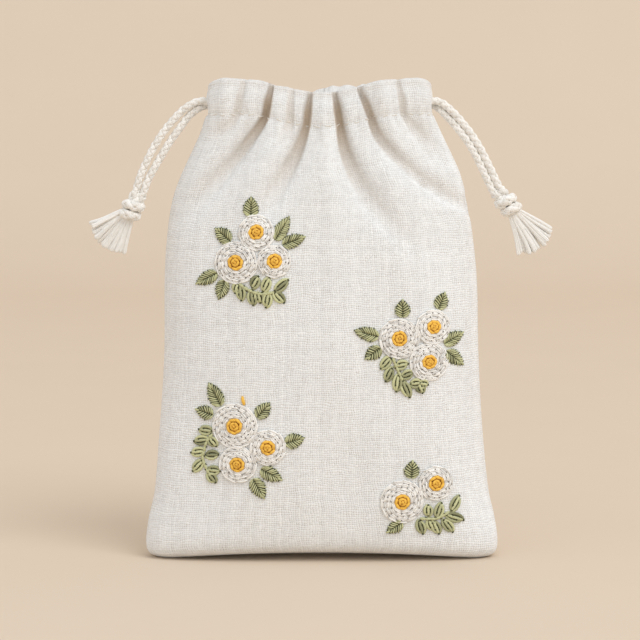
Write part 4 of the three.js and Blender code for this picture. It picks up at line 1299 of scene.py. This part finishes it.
for group, (places, specs) in SPRIGS.items():
    draw = np.random.default_rng(len(group) * 17)
    embroidery(f"sprig_{group}", [*stem(places), *leaflets(specs, draw)], "green_thread")
bud_path = np.array([[(-29.1, 63.4), (-28.9, 62.4), (-28.7, 61.6), (-28.5, 60.8), (-28.4, 60.2)]])
bud_height = 0.2 + 0.5 * np.sin(np.pi * np.linspace(0, 1, 5))
bud = stitches(bud_path, bud_height, half_wide=0.62, half_thick=0.5, tint=0.95)
embroidery("bud_stitch", [bud], "yellow_thread")

# %% [markdown]
# ## Casing stitches
# A row of running stitches in linen thread closes the casing. They sink into the cloth, so only short
# dashes show between the puckers. They are placed on the same wall function as the cloth, a fixed
# distance apart on the flat cloth.

# %% Casing stitches
STITCH_LENGTH, STITCH_EVERY, FIRST_STITCH = 2.3, 4.9, 1.5
stitch_start = np.arange(FIRST_STITCH, 2 * HALF_ROUND - STITCH_LENGTH, STITCH_EVERY)
stitch_u = stitch_start[:, None] + STITCH_LENGTH * STITCH_POINTS
stitch_side = np.where(stitch_u <= HALF_ROUND, -1, 1)
panel_u = np.where(stitch_side < 0, stitch_u, 2 * HALF_ROUND - stitch_u)
stitch_xi = np.sin(np.interp(panel_u, arc, arc_angle))
stitch_point = wall(stitch_xi, stitch_side, STITCH_Z + 0.3 * np.sin(stitch_u))
out_y = stitch_side * np.sqrt(np.maximum(0.05, 1 - stitch_xi**2))
stitch_out = np.stack([stitch_xi * 0.6, out_y, 0 * stitch_xi], -1)
stitch_rise = 0.02 + 0.14 * np.sin(np.pi * STITCH_POINTS)
stitch_paths = stitch_point + unit(stitch_out) * stitch_rise[:, None]
sewing = tubes(stitch_paths, stitch_out, half_wide=0.24, half_thick=0.18, sides=6, tint=0.7)
make_piece("casing_stitches", [sewing], THREAD["sewing_thread"])
print("casing stitches:", len(stitch_start))

# %% [markdown]
# ## Floor and light
# The pouch stands on a seamless warm backdrop: a floor that curves up behind it, so no edge shows.
# The light is soft. A large lamp to the upper right in front models the folds, and an even pale
# surrounding light fills the shadows.

# %% Floor
PAPER_TONES = ((0.706, 0.593, 0.472, 1), (0.725, 0.61, 0.487, 1))
FLOOR_REACH, FLOOR_BEHIND, FLOOR_BEND, BACKDROP_TOP = 6000, 1050, 600, 2600
paper, paper_tree, paper_shader = new_material("backdrop_paper", roughness=0.9, specular=0.1)
add, _, noise, mix = node_tools(paper_tree)
paper_grain = noise(add("ShaderNodeTexCoord", {})["Object"], scale=14.0, detail=4.0)[0]
paper_tree.links.new(mix(paper_grain, *PAPER_TONES), paper_shader["Base Color"])
bend_angle = np.linspace(0, np.pi / 2, 24)
bend_y, bend_z = FLOOR_BEHIND + FLOOR_BEND * np.sin(bend_angle), FLOOR_BEND * (1 - np.cos(bend_angle))
profile_y = np.concatenate([[-FLOOR_REACH, -800, 0], bend_y, [FLOOR_BEHIND + FLOOR_BEND]])[:, None]
profile_z = np.concatenate([[0, 0, 0], bend_z, [BACKDROP_TOP]])[:, None]
across_x = np.linspace(-FLOOR_REACH, FLOOR_REACH, 5)
sweep = np.stack(np.broadcast_arrays(across_x, profile_y, profile_z), -1)
points, faces, _ = grid(sweep, np.zeros((*sweep.shape[:2], 2)), 1.0)
backdrop_mesh = bpy.data.meshes.new("backdrop")
backdrop_mesh.from_pydata((points * MM).tolist(), [], faces[0][0].tolist())
backdrop_mesh.shade_smooth()
backdrop_mesh.materials.append(paper)
backdrop = bpy.data.objects.new("backdrop", backdrop_mesh)
scene.collection.objects.link(backdrop)
print("backdrop faces:", len(backdrop_mesh.polygons))

# %% Light
LAMP_PLACE, LAMP_TARGET = Vector((2.6, -3.0, 4.6)), Vector((0, 0, 0.08))
LAMP_SIZE, LAMP_POWER = 3.8, 134
SKY_COLOUR, SKY_STRENGTH = (0.985, 1.0, 1.02, 1), 0.83
lamp = bpy.data.objects.new("key_lamp", bpy.data.lights.new("key_lamp", "AREA"))
lamp.data.shape = "DISK"
lamp.data.size = LAMP_SIZE
lamp.data.energy = LAMP_POWER
lamp.location = LAMP_PLACE
lamp.rotation_euler = (LAMP_PLACE - LAMP_TARGET).to_track_quat("Z", "Y").to_euler()
scene.collection.objects.link(lamp)
scene.world = bpy.data.worlds.new("surroundings")
scene.world.use_nodes = True
sky = scene.world.node_tree.nodes["Background"].inputs
sky["Color"].default_value = SKY_COLOUR
sky["Strength"].default_value = SKY_STRENGTH
scene.view_settings.view_transform = "Standard"
print("lamp:", lamp.name)
